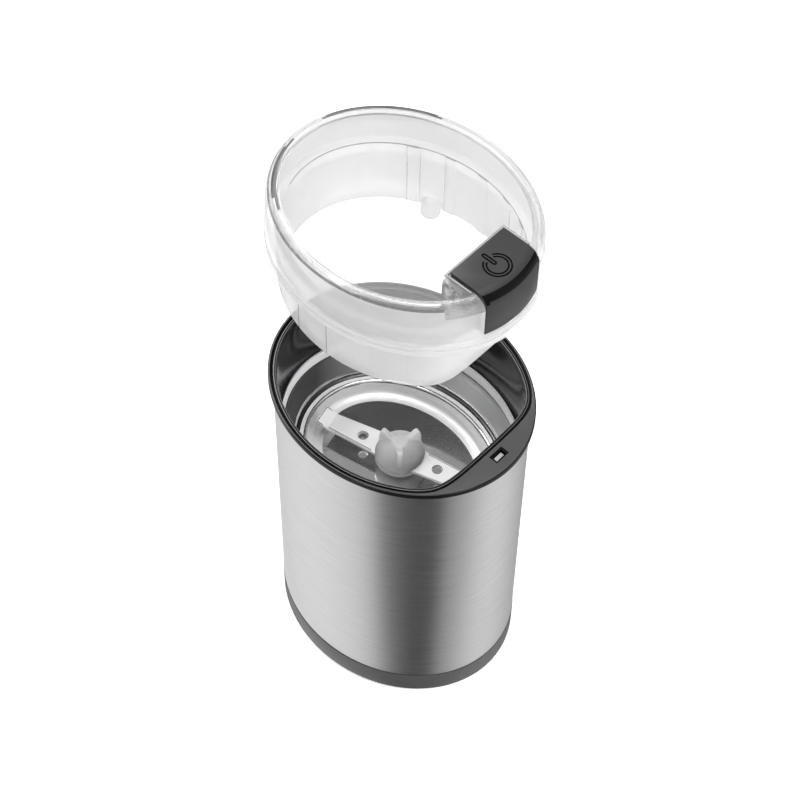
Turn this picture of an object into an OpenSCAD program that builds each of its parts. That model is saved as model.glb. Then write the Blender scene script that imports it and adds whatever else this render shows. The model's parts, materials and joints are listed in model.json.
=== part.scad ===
// Electric spice grinder: an oval steel body with a sunk steel grinding cup,
// a clear lid that lifts straight up, and a press button in the lid's end.
// +Z is up, the origin is on the table under the middle of the body, +X points
// to the switch end and -Y is the front.

/* [Body] */
// Long half width of the body, over the top rim
rim_a = 48; // [46:0.5:50]
// Short half width of the body, over the top rim
rim_b = 40.6; // [39:0.2:42]
// Height of the top rim above the table
rim_z = 133; // [132.5:0.5:138]
// Step from the rim's edge in to the steel sleeve
sleeve_inset = 1.55; // [1.4:0.05:1.6]
// Height of the dark base ring
base_h = 10.2; // [9:0.2:10.6]
// Thickness of the steel sleeve
sleeve_t = 0.45; // [0.4:0.05:0.45]

/* [Bridge and switch] */
// Distance of the bridge's straight edge from the middle
chord_x = 37.3; // [37:0.1:37.6]
// Middle of the switch slot along X
slot_x = 42.4; // [42.2:0.1:42.6]
// Middle of the switch slot along Y
slot_y = 1.0; // [-1:0.2:1]
// Travel of the switch plunger
plunger_travel = 2; // [1:0.1:2]

/* [Cup and blade] */
// Depth of the cup's floor under the rim
cup_depth = 46.2; // [45.8:0.1:46.6]
// Reach of the blade from its axis
blade_r = 31.7; // [29:0.1:32]
// Angle of the blade about its axis at rest
blade_angle = 13.8; // [0:0.2:90]
// Radius of the holes in the blade
blade_hole_r = 1.6; // [1:0.1:2]
// Radius of the blade hub
hub_r = 8.8; // [8.2:0.1:9.2]

/* [Lid] */
// How far the lid is lifted off the rim
lid_lift = 71.5; // [30:0.5:90]
// Height of the lid above its flange's underside
lid_h = 21; // [20:0.5:23]
// Depth of the lid's skirt
skirt_h = 19.5; // [16:0.5:26]
// Wall of the lid
lid_t = 2.2; // [1.8:0.1:2.4]
// Half length of the button along Y
button_hy = 11.8; // [11:0.1:11.8]
// Inner edge of the button along X
button_x = 28.9; // [28.9:0.1:30]

/* [Motor] */
// Radius of the drive shaft
shaft_r = 3; // [3:0.1:3.2]
// Radius of the armature's core
armature_r = 15.5; // [14:0.1:15.6]
// Radius of the cooling fan
fan_r = 27; // [22:0.5:28]
// Number of fan blades
fan_blades = 9; // [5:1:11]
// Number of armature slots
armature_slots = 12; // [8:1:14]

/* [Hidden] */
$fn = 48;

n_oval = 96;              // points round an oval
corner_p = 18;            // how tight the D shape's corners are
sleeve_in = sleeve_inset + sleeve_t;
cup_z = rim_z - cup_depth;
blade_z = rim_z - 40.85;
blade_t = 1.2;
switch_z = rim_z - 21;    // underside of the micro switch
lid_z = rim_z + lid_lift;
flange_d = 1.7;           // lid flange, in from the rim's edge
band_d = 2.6;             // lid's upper band
edge_r = 4.6;             // rounding of the lid's top edge
skirt_d = 5.1;            // lid's skirt
bay_y = button_hy + 0.3;
bay_x = button_x - 0.3;
proud = 1.2;              // button's rise over the lid's top
rib_x = [-22, -10, 2.7, 14, 23.6];
rib_w = 1.8;
rib_t = 0.35;
stack_z = 47;             // stator
stack_h = 20;
bolt_x = 27.8;
bolt_y = 22.2;
screw_x = 34.5;
screw_y = 15.5;
rod_w = 2;
rod_l = 4;

// Oval of the body's section, moved in by d
function oval(d) = [for (i = [0:n_oval - 1]) let (t = 360 * i / n_oval)
    [(rim_a - d) * cos(t), (rim_b - d) * sin(t)]];
// The same oval, cut straight at x = xc with rounded corners
function dee(d, xc) = [for (i = [0:n_oval - 1]) let (
    t = 360 * i / n_oval,
    ex = (rim_a - d) * cos(t), ey = (rim_b - d) * sin(t),
    f = ex > 0 ? pow(1 + pow(ex / xc, corner_p), -1 / corner_p) : 1)
    [ex * f, ey * f]];
function circ(r) = [for (i = [0:n_oval - 1]) let (t = 360 * i / n_oval) [r * cos(t), r * sin(t)]];
function at(ring, z) = [for (p = ring) [p[0], p[1], z]];
// A plate with chamfered corners
function plate(w, l, c) = [[w/2 - c, -l/2], [w/2, -l/2 + c], [w/2, l/2 - c], [w/2 - c, l/2],
    [-w/2 + c, l/2], [-w/2, l/2 - c], [-w/2, -l/2 + c], [-w/2 + c, -l/2]];

// Solid and hollow oval prisms, moved in by d from the body's section
module oslab(d, z0, z1) translate([0, 0, z0]) scale([rim_a - d, rim_b - d, 1]) cylinder(r = 1, h = z1 - z0, $fn = n_oval);
module owall(d0, d1, z0, z1) difference() { oslab(d0, z0, z1); oslab(d1, z0 - 1, z1 + 1); }
module slab(pts, z0, z1) translate([0, 0, z0]) linear_extrude(z1 - z0) polygon(pts);
module wall(outer, inner, z0, z1) translate([0, 0, z0]) linear_extrude(z1 - z0)
    difference() { polygon(outer); polygon(inner); }
module box(x0, x1, y0, y1, z0, z1) translate([x0, y0, z0]) cube([x1 - x0, y1 - y0, z1 - z0]);
module tube(r0, r1, z0, z1) translate([0, 0, z0]) difference() {
    cylinder(r = r0, h = z1 - z0);
    translate([0, 0, -1]) cylinder(r = r1, h = z1 - z0 + 2);
}
module rod(r, z0, z1) translate([0, 0, z0]) cylinder(r = r, h = z1 - z0);
module corners(x, y) for (sx = [-1, 1], sy = [-1, 1]) translate([sx * x, sy * y, 0]) children();
// Shell whose section is a closed run of rings
module ring_shell(rings) {
    m = len(rings); n = len(rings[0]);
    polyhedron(points = [for (r = rings) each r],
        faces = [for (k = [0:m - 1], i = [0:n - 1]) let (
            a = k * n + i, b = k * n + (i + 1) % n,
            c = ((k + 1) % m) * n + (i + 1) % n, d = ((k + 1) % m) * n + i) each [[a, b, c], [a, c, d]]],
        convexity = 6);
}
// Solid through a stack of rings, lowest first
module loft(rings) {
    m = len(rings); n = len(rings[0]);
    polyhedron(points = [for (r = rings) each r],
        faces = concat([[for (i = [0:n - 1]) i]],
            [for (k = [0:m - 2], i = [0:n - 1]) let (
                a = k * n + i, b = k * n + (i + 1) % n,
                c = (k + 1) * n + (i + 1) % n, d = (k + 1) * n + i) each [[a, c, b], [a, d, c]]],
            [[for (i = [n - 1:-1:0]) (m - 1) * n + i]]), convexity = 6);
}
// Round wire through points of one upright plane, given as [x, z], at y
module wire(pts, y, r) {
    m = len(pts); sides = 10;
    function u(v) = v / norm(v);
    rings = [for (k = [0:m - 1]) let (
        a = k > 0 ? u(pts[k] - pts[k - 1]) : u(pts[1] - pts[0]),
        b = k < m - 1 ? u(pts[k + 1] - pts[k]) : a,
        t = u(a + b), w = [-t[1], t[0]] / max(0.5, t * b))
        [for (j = [0:sides - 1]) let (g = 360 * j / sides)
            [pts[k][0] + w[0] * r * cos(g), y + r * sin(g), pts[k][1] + w[1] * r * cos(g)]]];
    loft(rings);
}
// Coil spring as one swept tube
module coil(r, w, h, turns) {
    sides = 8; steps = turns * 18;
    rings = [for (k = [0:steps]) let (t = 360 * turns * k / steps, z = w + (h - 2 * w) * k / steps)
        [for (j = [0:sides - 1]) let (u = 360 * j / sides)
            [(r + w * cos(u)) * cos(t), (r + w * cos(u)) * sin(t), z + w * sin(u)]]];
    polyhedron(points = [for (q = rings) each q],
        faces = concat([[for (j = [0:sides - 1]) j]],
            [for (k = [0:steps - 1], j = [0:sides - 1]) let (
                a = k * sides + j, b = k * sides + (j + 1) % sides,
                c = (k + 1) * sides + (j + 1) % sides, d = (k + 1) * sides + j) each [[a, c, b], [a, d, c]]],
            [[for (j = [sides - 1:-1:0]) steps * sides + j]]), convexity = 8);
}

// ---- outside of the body ----
module outer_shell() color([0.72, 0.72, 0.73])
    wall(oval(sleeve_inset), oval(sleeve_in), base_h + 0.5, rim_z - 1.9);

module base_ring() color([0.2, 0.2, 0.21]) difference() {
    union() {
        oslab(1.4, 0.5, base_h);
        oslab(1.8, base_h - 0.1, base_h + 0.5);
        oslab(sleeve_in + 0.1, base_h + 0.4, base_h + 3.8);
    }
    oslab(3.4, 0, 20);
    // way through for the cord's grommet
    translate([-rim_a - 2, 0, 6]) rotate([0, 90, 0]) cylinder(r = 3.2, h = 10);
}

module bottom_cover() color([0.1, 0.1, 0.1]) difference() {
    union() {
        oslab(3.6, 2, 4);
        owall(3.6, 4.8, 3.9, 6);
        corners(screw_x, screw_y) rod(4.2, 3.9, base_h + 4);
    }
    corners(screw_x, screw_y) { rod(1.7, 1, 20); rod(3.3, 1, 4.4); }
    // air slots
    for (i = [-4:4]) box(i * 5 - 1, i * 5 + 1, -16, 16, 1, 5);
    // room for the cord's grommet
    translate([-rim_a, 0, 6]) rotate([0, 90, 0]) cylinder(r = 4.2, h = 12);
}

module rubber_feet() color([0.05, 0.05, 0.05])
    for (p = [[25, 24], [25, -24], [-25, 24], [-25, -24]]) translate([p[0], p[1], 0]) {
        cylinder(r = 4.6, h = 2);
    }

module cover_screws() color([0.6, 0.6, 0.6]) corners(screw_x, screw_y) difference() {
    union() { rod(3, 2.4, 4.4); rod(1.4, 4.3, 21); }
    translate([0, 0, 2]) { box(-1.8, 1.8, -0.4, 0.4, 0, 1.4); box(-0.4, 0.4, -1.8, 1.8, 0, 1.4); }
}

module cord_grommet() color([0.06, 0.06, 0.06]) translate([-47.6, 0, 6]) rotate([0, 90, 0]) difference() {
    union() {
        cylinder(r = 3.8, h = 0.9);
        cylinder(r = 3.1, h = 6.2);
        translate([0, 0, 5.0]) cylinder(r = 3.9, h = 1.2);
    }
    translate([0, 0, -1]) cylinder(r = 1.9, h = 10);
}

module terminal_block() color([0.85, 0.84, 0.78]) difference() {
    box(-42, -33.5, -6, 6, base_h + 5.8, base_h + 14.6);
    for (y = [-3, 3]) {
        translate([-37.7, y, base_h + 9]) cylinder(r = 1.2, h = 8);
        translate([-43.5, y, base_h + 9.4]) rotate([0, 90, 0]) cylinder(r = 1, h = 12);
    }
}

// ---- rim, cup ----
module top_rim() color([0.08, 0.08, 0.085]) {
    lip_x = chord_x + 1.3;
    difference() {
        union() {
            // top plate with outer lip, groove and inner lip
            wall(oval(0), dee(2.9, chord_x), rim_z - 1.9, rim_z - 0.9);
            wall(oval(0), dee(0.95, lip_x + 0.8), rim_z - 0.91, rim_z);
            wall(dee(1.75, lip_x), dee(2.9, chord_x), rim_z - 0.91, rim_z - 0.2);
            // spigot inside the sleeve
            wall(oval(sleeve_in + 0.1), oval(3.2), rim_z - 10, rim_z - 1.89);
            // wall of the well
            wall(dee(2.25, chord_x + 1.1), dee(3.3, chord_x), rim_z - 27, rim_z - 1.89);
            // apron from the bridge down to the cup's ledge
            translate([chord_x - 0.02, 0, 0]) rotate([90, 0, 90]) linear_extrude(1.1)
                polygon([[-15.6, rim_z - 26.9], [15.6, rim_z - 26.9], [12.6, rim_z - 34], [8.6, rim_z - 41.4],
                    [-8.6, rim_z - 41.4], [-12.6, rim_z - 34]]);
            // guide of the switch plunger
            box(slot_x - 2.2, slot_x + 2.3, slot_y - 3.3, slot_y + 3.3, rim_z - 5.3, rim_z - 1.8);
        }
        // switch slot
        box(slot_x - rod_w/2 - 0.3, slot_x + rod_w/2 + 0.3, slot_y - rod_l/2 - 0.4, slot_y + rod_l/2 + 0.4,
            rim_z - 6, rim_z + 1);
    }
}

// The cup's section: inset from the rim's edge and depth under the rim
cup_in = [[3.55, 27.2], [3.9, 27.9], [4.3, 30], [4.6, 32.2], [5.3, 34], [6.4, 37], [7.4, 40], [7.9, 41.2],
    [8.6, 41.75], [9.4, 41.9], [10.6, 41.9], [11.3, 42], [11.8, 42.25], [12.2, 42.75], [13.9, 45.3],
    [14.3, 45.8], [14.9, 46.1], [15.8, cup_depth]];
cup_out = [[15.4, cup_depth + 0.8], [14.3, cup_depth + 0.6], [13.5, 46.3], [13, 45.6], [11.5, 43.4], [11, 42.85],
    [10.4, 42.7], [9, 42.7], [8, 42.4], [7.2, 41.6], [6.7, 40.2], [5.6, 37.1], [4.6, 34.2], [4, 32.3],
    [3.6, 30.2], [3.3, 28.6], [3.25, 27.5]];
module grinding_cup() color([0.8, 0.8, 0.8]) difference() {
    ring_shell(concat([for (p = cup_in) at(oval(p[0]), rim_z - p[1])],
        [at(circ(4), cup_z), at(circ(4), cup_z - 0.8)],
        [for (p = cup_out) at(oval(p[0]), rim_z - p[1])]));
    rod(4.4, cup_z - 3, cup_z + 3);
}

module cup_seal() color([0.15, 0.15, 0.15]) owall(8.4, 10, rim_z - 44, rim_z - 42.75);

module shaft_seal() color([0.12, 0.12, 0.12]) difference() {
    union() {
        rod(6.9, cup_z - 2.4, cup_z - 0.95);
        rod(4.3, cup_z - 1, cup_z + 0.2);
        rod(5.2, cup_z + 0.1, cup_z + 0.5);
    }
    rod(shaft_r + 0.05, cup_z - 4, cup_z + 4);
}

module inner_chassis() color([0.14, 0.14, 0.15]) difference() {
    union() {
        owall(2.6, 4, base_h + 4.2, 84);
        oslab(2.6, 83.4, 85.4);
        owall(8, 10.4, 85.3, rim_z - 44);
        corners(screw_x, screw_y) rod(4.2, base_h + 4.2, 24.2);
        // webs from the screw posts to the wall
        for (sx = [-1, 1], sy = [-1, 1]) translate([sx * screw_x, sy * screw_y, base_h + 4.2])
            rotate([0, 0, sy * sx * 24 + (sx < 0 ? 180 : 0)]) translate([2, -0.8, 0]) cube([3.2, 1.6, 9]);
        // shelf for the terminal block
        box(-44, -33, -6.6, 6.6, base_h + 4.2, base_h + 5.8);
    }
    rod(11, 80, 90);
    corners(screw_x, screw_y) rod(1.45, 10, 23);
    corners(bolt_x, bolt_y) rod(1.8, 80, 90);
    // way for the leads and the air
    box(38.6, 42.6, -7, 7, 82, 87);
    box(-43, -36, -6, 6, 82, 87);
    for (s = [-1, 1], k = [-1:1]) translate([k * 13, s * 33.5, 0]) box(-3.5, 3.5, -9, 9, 26, 60);
}

// ---- motor, fixed ----
module motor_mounts() color([0.1, 0.1, 0.1]) corners(bolt_x, bolt_y) tube(4.4, 1.8, 81, 83.4);

module motor_top_bracket() color([0.6, 0.61, 0.63]) difference() {
    union() {
        slab(plate(64, 52, 5), 78.6, 81);
        rod(10, 73.6, 82.4);
    }
    rod(6.5, 74.6, 90);
    rod(4, 70, 90);
    corners(bolt_x, bolt_y) rod(1.8, 70, 90);
    for (s = [-1, 1]) { translate([0, s * 18, 0]) box(-14, 14, -4, 4, 78, 82); translate([s * 20, 0, 0]) box(-5, 5, -9, 9, 78, 82); }
}

module motor_bottom_bracket() color([0.6, 0.61, 0.63]) difference() {
    union() {
        slab(plate(64, 52, 5), 25, 27.4);
        rod(9.5, 24, 32.4);
    }
    rod(6.5, 20, 31.4);
    rod(4, 20, 40);
    corners(bolt_x, bolt_y) rod(1.8, 20, 40);
    for (s = [-1, 1]) translate([s * 20, 0, 0]) box(-5, 5, -12, 12, 24, 28);
}

module motor_bolts() color([0.7, 0.7, 0.68]) corners(bolt_x, bolt_y) {
    rod(1.7, 24.6, 85.2);
    rod(3.2, 22.6, 25);
}

module stator_core() color([0.45, 0.46, 0.48]) difference() {
    translate([0, 0, stack_z]) linear_extrude(stack_h) difference() {
        union() {
            difference() { polygon(plate(62, 50, 3)); polygon(plate(50, 40, 6)); }
            for (s = [-1, 1]) scale([s, 1]) {
                translate([15, -8]) square([11, 16]);
                translate([11.5, -12.5]) square([6, 25]);
            }
        }
        circle(r = 16.3);
    }
    corners(bolt_x, bolt_y) rod(1.8, 40, 70);
}

module field_coils() color([0.7, 0.38, 0.18]) for (s = [-1, 1]) scale([s, 1, 1]) difference() {
    translate([17.9, 0, 0]) rotate([90, 0, 90]) linear_extrude(6.6)
        polygon([for (p = plate(28.4, stack_h + 10, 4)) [p[0], p[1] + stack_z + stack_h / 2]]);
    box(10, 30, -8.4, 8.4, stack_z - 0.4, stack_z + stack_h + 0.4);
}

module upper_bearing() color([0.75, 0.6, 0.35]) tube(6.5, shaft_r + 0.04, 74.6, 81.4);
module lower_bearing() color([0.75, 0.6, 0.35]) tube(6.5, shaft_r + 0.04, 25, 31.4);

module brush_holders() color([0.78, 0.66, 0.35]) for (s = [-1, 1]) scale([1, s, 1]) difference() {
    box(-4.2, 4.2, 11, 23, 27.4, 39.8);
    box(-3, 3, 9, 22, 33.4, 38.6);
    box(-2, 2, 9, 25, 29, 31.6);
}
module carbon_brushes() color([0.16, 0.16, 0.17]) for (s = [-1, 1]) scale([1, s, 1])
    difference() { box(-2.9, 2.9, 8, 18, 33.5, 38.5); rod(9.06, 30, 42); }

module thermal_cutout() color([0.9, 0.9, 0.88]) box(-5, 5, 25, 29, 50, 64);

// ---- switch ----
module micro_switch() color([0.1, 0.1, 0.11]) difference() {
    union() {
        box(39.3, 44.2, -8, 9, switch_z, switch_z + 10.4);
        box(slot_x - 1, slot_x + 1, slot_y - 1.5, slot_y + 1.5, switch_z + 10.3, switch_z + 10.65);
        for (y = [-5, 0, 5]) box(41.4, 42, y - 1.4, y + 1.4, switch_z - 4.2, switch_z + 0.1);
    }
    for (y = [-5.5, 6.5]) translate([38, y, switch_z + 2.4]) rotate([0, 90, 0]) cylinder(r = 1.1, h = 10);
}

module switch_leads() color([0.6, 0.1, 0.1]) for (s = [-1, 1])
    wire([[41.7, switch_z - 4.6], [42.5, switch_z - 5.1], [44.4, switch_z - 5.1], [44.95, switch_z - 6], [44.95, 101.4], [41.8, 91], [40.9, 87],
        [40.9, 80], [37, 75.4], [26, 74.6], [22, 72.6], [20.6, 72.5]], 5 * s, 0.42);

module switch_plunger() color([0.3, 0.3, 0.31]) {
    foot = switch_z + 11 + plunger_travel;
    box(slot_x - rod_w/2, slot_x + rod_w/2, slot_y - rod_l/2, slot_y + rod_l/2, foot, rim_z - 1.2);
    box(slot_x - 2, slot_x + 1.7, slot_y - 3.2, slot_y + 3.2, foot + 0.8, foot + 2);
}

// ---- rotor ----
module drive_shaft() color([0.82, 0.82, 0.83]) rod(shaft_r, 14, blade_z + 4.3);

module armature_core() color([0.5, 0.5, 0.52]) difference() {
    rod(armature_r, stack_z - 1, stack_z + stack_h + 1);
    rod(shaft_r, 40, 80);
    for (i = [0:armature_slots - 1]) rotate([0, 0, i * 360 / armature_slots]) {
        translate([armature_r - 3.4, 0, 40]) cylinder(r = 1.6, h = 40);
        box(armature_r - 3, armature_r + 2, -0.7, 0.7, 40, 80);
    }
}

module armature_windings() color([0.72, 0.4, 0.2]) for (z = [stack_z - 5.4, stack_z + stack_h + 1])
    translate([0, 0, z]) rotate_extrude() polygon([[shaft_r + 1.4, 0], [11, 0], [13.4, 1.4], [14, 3],
        [13.4, 4.4], [shaft_r + 1.4, 4.4]]);

module commutator() color([0.78, 0.48, 0.25]) difference() {
    rod(9, 33, 41.2);
    rod(shaft_r, 30, 45);
    for (i = [0:armature_slots - 1]) rotate([0, 0, (i + 0.5) * 360 / armature_slots]) box(8.2, 10, -0.2, 0.2, 32, 42);
}

module cooling_fan() color([0.16, 0.16, 0.17]) difference() {
    union() {
        rod(6, 15, 22);
        rod(fan_r, 15, 16.4);
        for (i = [0:fan_blades - 1]) rotate([0, 0, i * 360 / fan_blades]) box(5, fan_r - 1, -0.7, 0.7, 16.3, 22);
    }
    rod(shaft_r, 10, 30);
}

// One arm of the blade in plan, along +X
arm = [[0, -4.9], [8, -4.7], [27.6, -3.5], [27.6, 3.5], [8, 4.7], [0, 4.9]];
module blade() color([0.86, 0.86, 0.87]) rotate([0, 0, blade_angle]) difference() {
    union() {
        for (s = [0, 180]) rotate([0, 0, s]) {
            translate([0, 0, blade_z]) linear_extrude(blade_t) polygon(arm);
            // raised tip
            translate([27.4, 0, blade_z]) rotate([0, -22, 0]) linear_extrude(blade_t)
                polygon([[0, -3.5], [(blade_r - 27.4) / cos(22), -3.8], [(blade_r - 27.4) / cos(22), 3.8], [0, 3.5]]);
        }
    }
    rod(shaft_r, 80, 110);
    for (s = [-1, 1]) translate([s * 14.7, 0, 80]) cylinder(r = blade_hole_r, h = 30);
}

// Section of one hub fin, from the axis out
fin = [[0, 0], [hub_r - 0.7, 0], [hub_r - 0.8, 5.4], [hub_r - 1.1, 7.4], [hub_r - 1.6, 8.4], [hub_r - 2.3, 8.85], [hub_r - 3, 8.7], [3, 6.6], [0, 6.6]];
module blade_hub() color([0.93, 0.93, 0.92]) translate([0, 0, blade_z + blade_t]) difference() {
    union() {
        // foot that comes down near the cup's floor, disc under the blade, and the crown above it
        rotate_extrude() polygon([[0, -5.4], [hub_r - 1.9, -5.4], [hub_r - 1.6, -5.1], [hub_r - 0.4, -2.9], [hub_r - 0.1, -2.7],
            [hub_r, -2.4], [hub_r, -1.2], [hub_r - 0.3, -1], [hub_r - 0.3, -0.7], [hub_r, -0.4], [hub_r, 0.7], [hub_r - 0.4, 1.3],
            [hub_r - 1.2, 2.6], [hub_r - 2.6, 4.2], [hub_r - 4.4, 5.4], [3, 6.3], [2.6, 6.6], [0, 6.6]]);
        for (i = [0:2]) rotate([0, 0, -48 + 120 * i]) translate([0, 1, 0]) rotate([90, 0, 0])
            linear_extrude(2) polygon(fin);
    }
    // seat for the blade
    rotate([0, 0, blade_angle]) translate([0, 0, -blade_t]) linear_extrude(blade_t)
        for (s = [0, 180]) rotate([0, 0, s]) polygon(arm);
    rod(shaft_r, -6, 4.3);
}

// ---- lid ----
// Rings of the lid's rounded dome from z0 up, moved in by e
function dome(e, z0) = concat([at(oval(band_d + e), z0)], [for (t = [0:15:90])
    at(oval(band_d + e + (edge_r - e) * (1 - cos(t))), lid_h - edge_r + (edge_r - e) * sin(t))]);

module lid_shell() color([0.85, 0.9, 0.93, 0.35]) translate([0, 0, lid_z]) {
    inner = dee(skirt_d + lid_t, chord_x - 3.5);
    difference() {
        union() {
            slab(oval(flange_d), 0, 2.3);
            slab(oval(flange_d + 0.5), 2.2, 2.9);
            slab(oval(flange_d), 2.8, 5.2);
            loft(dome(0, 5.1));
        }
        slab(inner, -1, 6.75);
        loft(dome(lid_t, 6.7));
        // bay for the button
        box(bay_x, 60, -bay_y, bay_y, 6.7, lid_h + 1);
        difference() {
            box(bay_x + 5, 60, -bay_y, bay_y, 1.6, 6.8);
            slab(oval(4.5), 1, 7);
            difference() { slab(oval(0), 1, 5.2); slab(oval(2.35), 0, 7); }
        }
        // way for the push rod
        box(slot_x - rod_w/2 - 0.3, slot_x + rod_w/2 + 0.3, slot_y - rod_l/2 - 0.3, slot_y + rod_l/2 + 0.3, -1, 10);
    }
}

module lid_skirt() color([0.85, 0.9, 0.93, 0.35]) translate([0, 0, lid_z]) {
    inner = dee(skirt_d + lid_t, chord_x - 3.5);
    wall(dee(skirt_d, chord_x - 1.3), inner, -skirt_h, 0);
    // shallow ribs down the inside
    intersection() {
        wall(dee(skirt_d + 1, chord_x - 2.3), dee(skirt_d + lid_t + rib_t, chord_x - 3.5 - rib_t), -skirt_h, 0);
        for (x = rib_x) { box(x - rib_w, x + rib_w, 12, 45, -skirt_h - 1, 1); box(x - rib_w, x + rib_w, -45, -12, -skirt_h - 1, 1); }
    }
    // small peg at the foot of the back wall
    difference() {
        translate([-14.4, 28.6, -skirt_h]) cylinder(r = 3.3, h = 5);
        wall(oval(0), dee(skirt_d + 1, chord_x), -skirt_h - 1, 1);
    }
}

module lid_button_housing() color([0.85, 0.9, 0.93, 0.35]) translate([0, 0, lid_z]) {
    intersection() {
        loft(dome(lid_t + 0.06, 6.76));
        difference() {
            box(bay_x - 1.3, 60, -bay_y - 1.3, bay_y + 1.3, 6, 30);
            // room for the button, the hollow under the floor, and the outer end
            box(bay_x, 60, -bay_y, bay_y, 12.6, 40);
            box(bay_x, 39.2, -bay_y, bay_y, 5, 11.2);
            box(40.6, 60, -bay_y - 3, bay_y + 3, 5, 12.8);
        }
    }
    translate([35.5, 0, 12.5]) cylinder(r = 1.6, h = 3.4);
}

module power_button() color([0.12, 0.12, 0.125]) translate([0, 0, lid_z + proud]) difference() {
    intersection() {
        loft(dome(0.06, 4));
        union() {
            box(button_x, 60, -button_hy, button_hy, lid_h - 2.8, lid_h + 1);
            difference() {
                box(button_x, 60, -button_hy, button_hy, 15, lid_h - 2.7);
                box(button_x + 1.4, 60, -button_hy + 1.4, button_hy - 1.4, 14, lid_h);
            }
            // face at the lid's end
            difference() {
                box(button_x + 5, 60, -button_hy, button_hy, 4.1, lid_h - 2.7);
                slab(oval(band_d + 1.45), 3, lid_h);
            }
        }
    }
    // power sign, sunk in the top
    translate([36.8, -0.3, lid_h - 0.41]) {
        difference() {
            cylinder(r = 4.1, h = 1);
            translate([0, 0, -1]) cylinder(r = 3.3, h = 3);
            box(-6, 0, -1.5, 1.5, -1, 2);
        }
        box(-5.6, -0.9, -0.4, 0.4, 0, 1);
    }
}

module button_push_rod() color([0.2, 0.2, 0.2]) translate([0, 0, lid_z])
    box(slot_x - rod_w/2, slot_x + rod_w/2, slot_y - rod_l/2, slot_y + rod_l/2, 2.1, lid_h - 1.6);

module button_spring() color([0.75, 0.75, 0.75]) translate([35.5, 0, lid_z + 12.6]) coil(2.9, 0.35, lid_h - 14.2, 4);

outer_shell();
base_ring();
bottom_cover();
rubber_feet();
cover_screws();
cord_grommet();
terminal_block();
top_rim();
grinding_cup();
cup_seal();
shaft_seal();
inner_chassis();
motor_mounts();
motor_top_bracket();
motor_bottom_bracket();
motor_bolts();
stator_core();
field_coils();
upper_bearing();
lower_bearing();
brush_holders();
carbon_brushes();
thermal_cutout();
micro_switch();
switch_leads();
switch_plunger();
drive_shaft();
armature_core();
armature_windings();
commutator();
cooling_fan();
blade();
blade_hub();
lid_shell();
lid_skirt();
lid_button_housing();
power_button();
button_push_rod();
button_spring();
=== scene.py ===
import json
import math
import bpy
import bmesh
from mathutils import Vector, Matrix

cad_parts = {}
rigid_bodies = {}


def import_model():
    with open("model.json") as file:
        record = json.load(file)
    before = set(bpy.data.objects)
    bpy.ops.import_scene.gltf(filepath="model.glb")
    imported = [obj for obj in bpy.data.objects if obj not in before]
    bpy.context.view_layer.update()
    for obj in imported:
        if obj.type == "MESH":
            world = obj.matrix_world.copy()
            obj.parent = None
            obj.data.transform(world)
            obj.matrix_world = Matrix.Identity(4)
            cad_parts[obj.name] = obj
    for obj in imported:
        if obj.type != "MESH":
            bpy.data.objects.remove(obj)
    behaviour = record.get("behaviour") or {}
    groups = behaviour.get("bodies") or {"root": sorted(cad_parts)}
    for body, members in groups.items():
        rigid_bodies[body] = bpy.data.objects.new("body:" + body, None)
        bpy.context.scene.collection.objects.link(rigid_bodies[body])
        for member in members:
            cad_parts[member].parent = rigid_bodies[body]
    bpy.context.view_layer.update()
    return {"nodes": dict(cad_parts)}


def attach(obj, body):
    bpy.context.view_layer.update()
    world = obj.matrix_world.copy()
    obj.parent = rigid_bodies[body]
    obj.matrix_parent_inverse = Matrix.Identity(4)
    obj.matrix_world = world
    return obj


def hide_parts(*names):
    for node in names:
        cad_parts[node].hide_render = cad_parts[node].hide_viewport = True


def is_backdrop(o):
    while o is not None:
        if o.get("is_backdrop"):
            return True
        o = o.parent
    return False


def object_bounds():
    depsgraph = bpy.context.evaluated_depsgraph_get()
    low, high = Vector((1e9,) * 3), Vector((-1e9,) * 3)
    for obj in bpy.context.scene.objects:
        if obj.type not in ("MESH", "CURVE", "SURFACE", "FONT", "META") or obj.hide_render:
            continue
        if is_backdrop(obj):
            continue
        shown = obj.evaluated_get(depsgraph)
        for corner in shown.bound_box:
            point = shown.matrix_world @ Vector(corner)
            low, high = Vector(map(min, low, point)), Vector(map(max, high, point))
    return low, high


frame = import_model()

N = frame["nodes"]
MM = 0.001
A, B = 48.0, 40.6            # half widths of the rim's oval, mm
SEG = 288
RIM = 133.0
LIDZ = RIM + 71.5
SK = 19.5                    # depth of the lid's skirt


# ---------------------------------------------------------------- mesh helpers
def oval_ring(d, z, xc=None, angles=None):
    """Ring of the body's oval moved in by d, cut straight at x = xc."""
    pts = []
    for t in angles or [2 * math.pi * i / SEG for i in range(SEG)]:
        x, y = (A - d) * math.cos(t), (B - d) * math.sin(t)
        if xc is not None and x > 0:
            f = (1 + (x / xc) ** 18) ** (-1 / 18)
            x, y = x * f, y * f
        pts.append((x, y, z))
    return pts


def circle_ring(r, z, seg=SEG, cx=0.0, cy=0.0):
    return [(cx + r * math.cos(2 * math.pi * i / seg), cy + r * math.sin(2 * math.pi * i / seg), z) for i in range(seg)]


def arc(cx, cz, r, a0, a1, n=6):
    """Points of an arc in (inset, z), degrees."""
    return [(cx + r * math.cos(math.radians(a0 + (a1 - a0) * k / n)),
             cz + r * math.sin(math.radians(a0 + (a1 - a0) * k / n))) for k in range(n + 1)]


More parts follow.
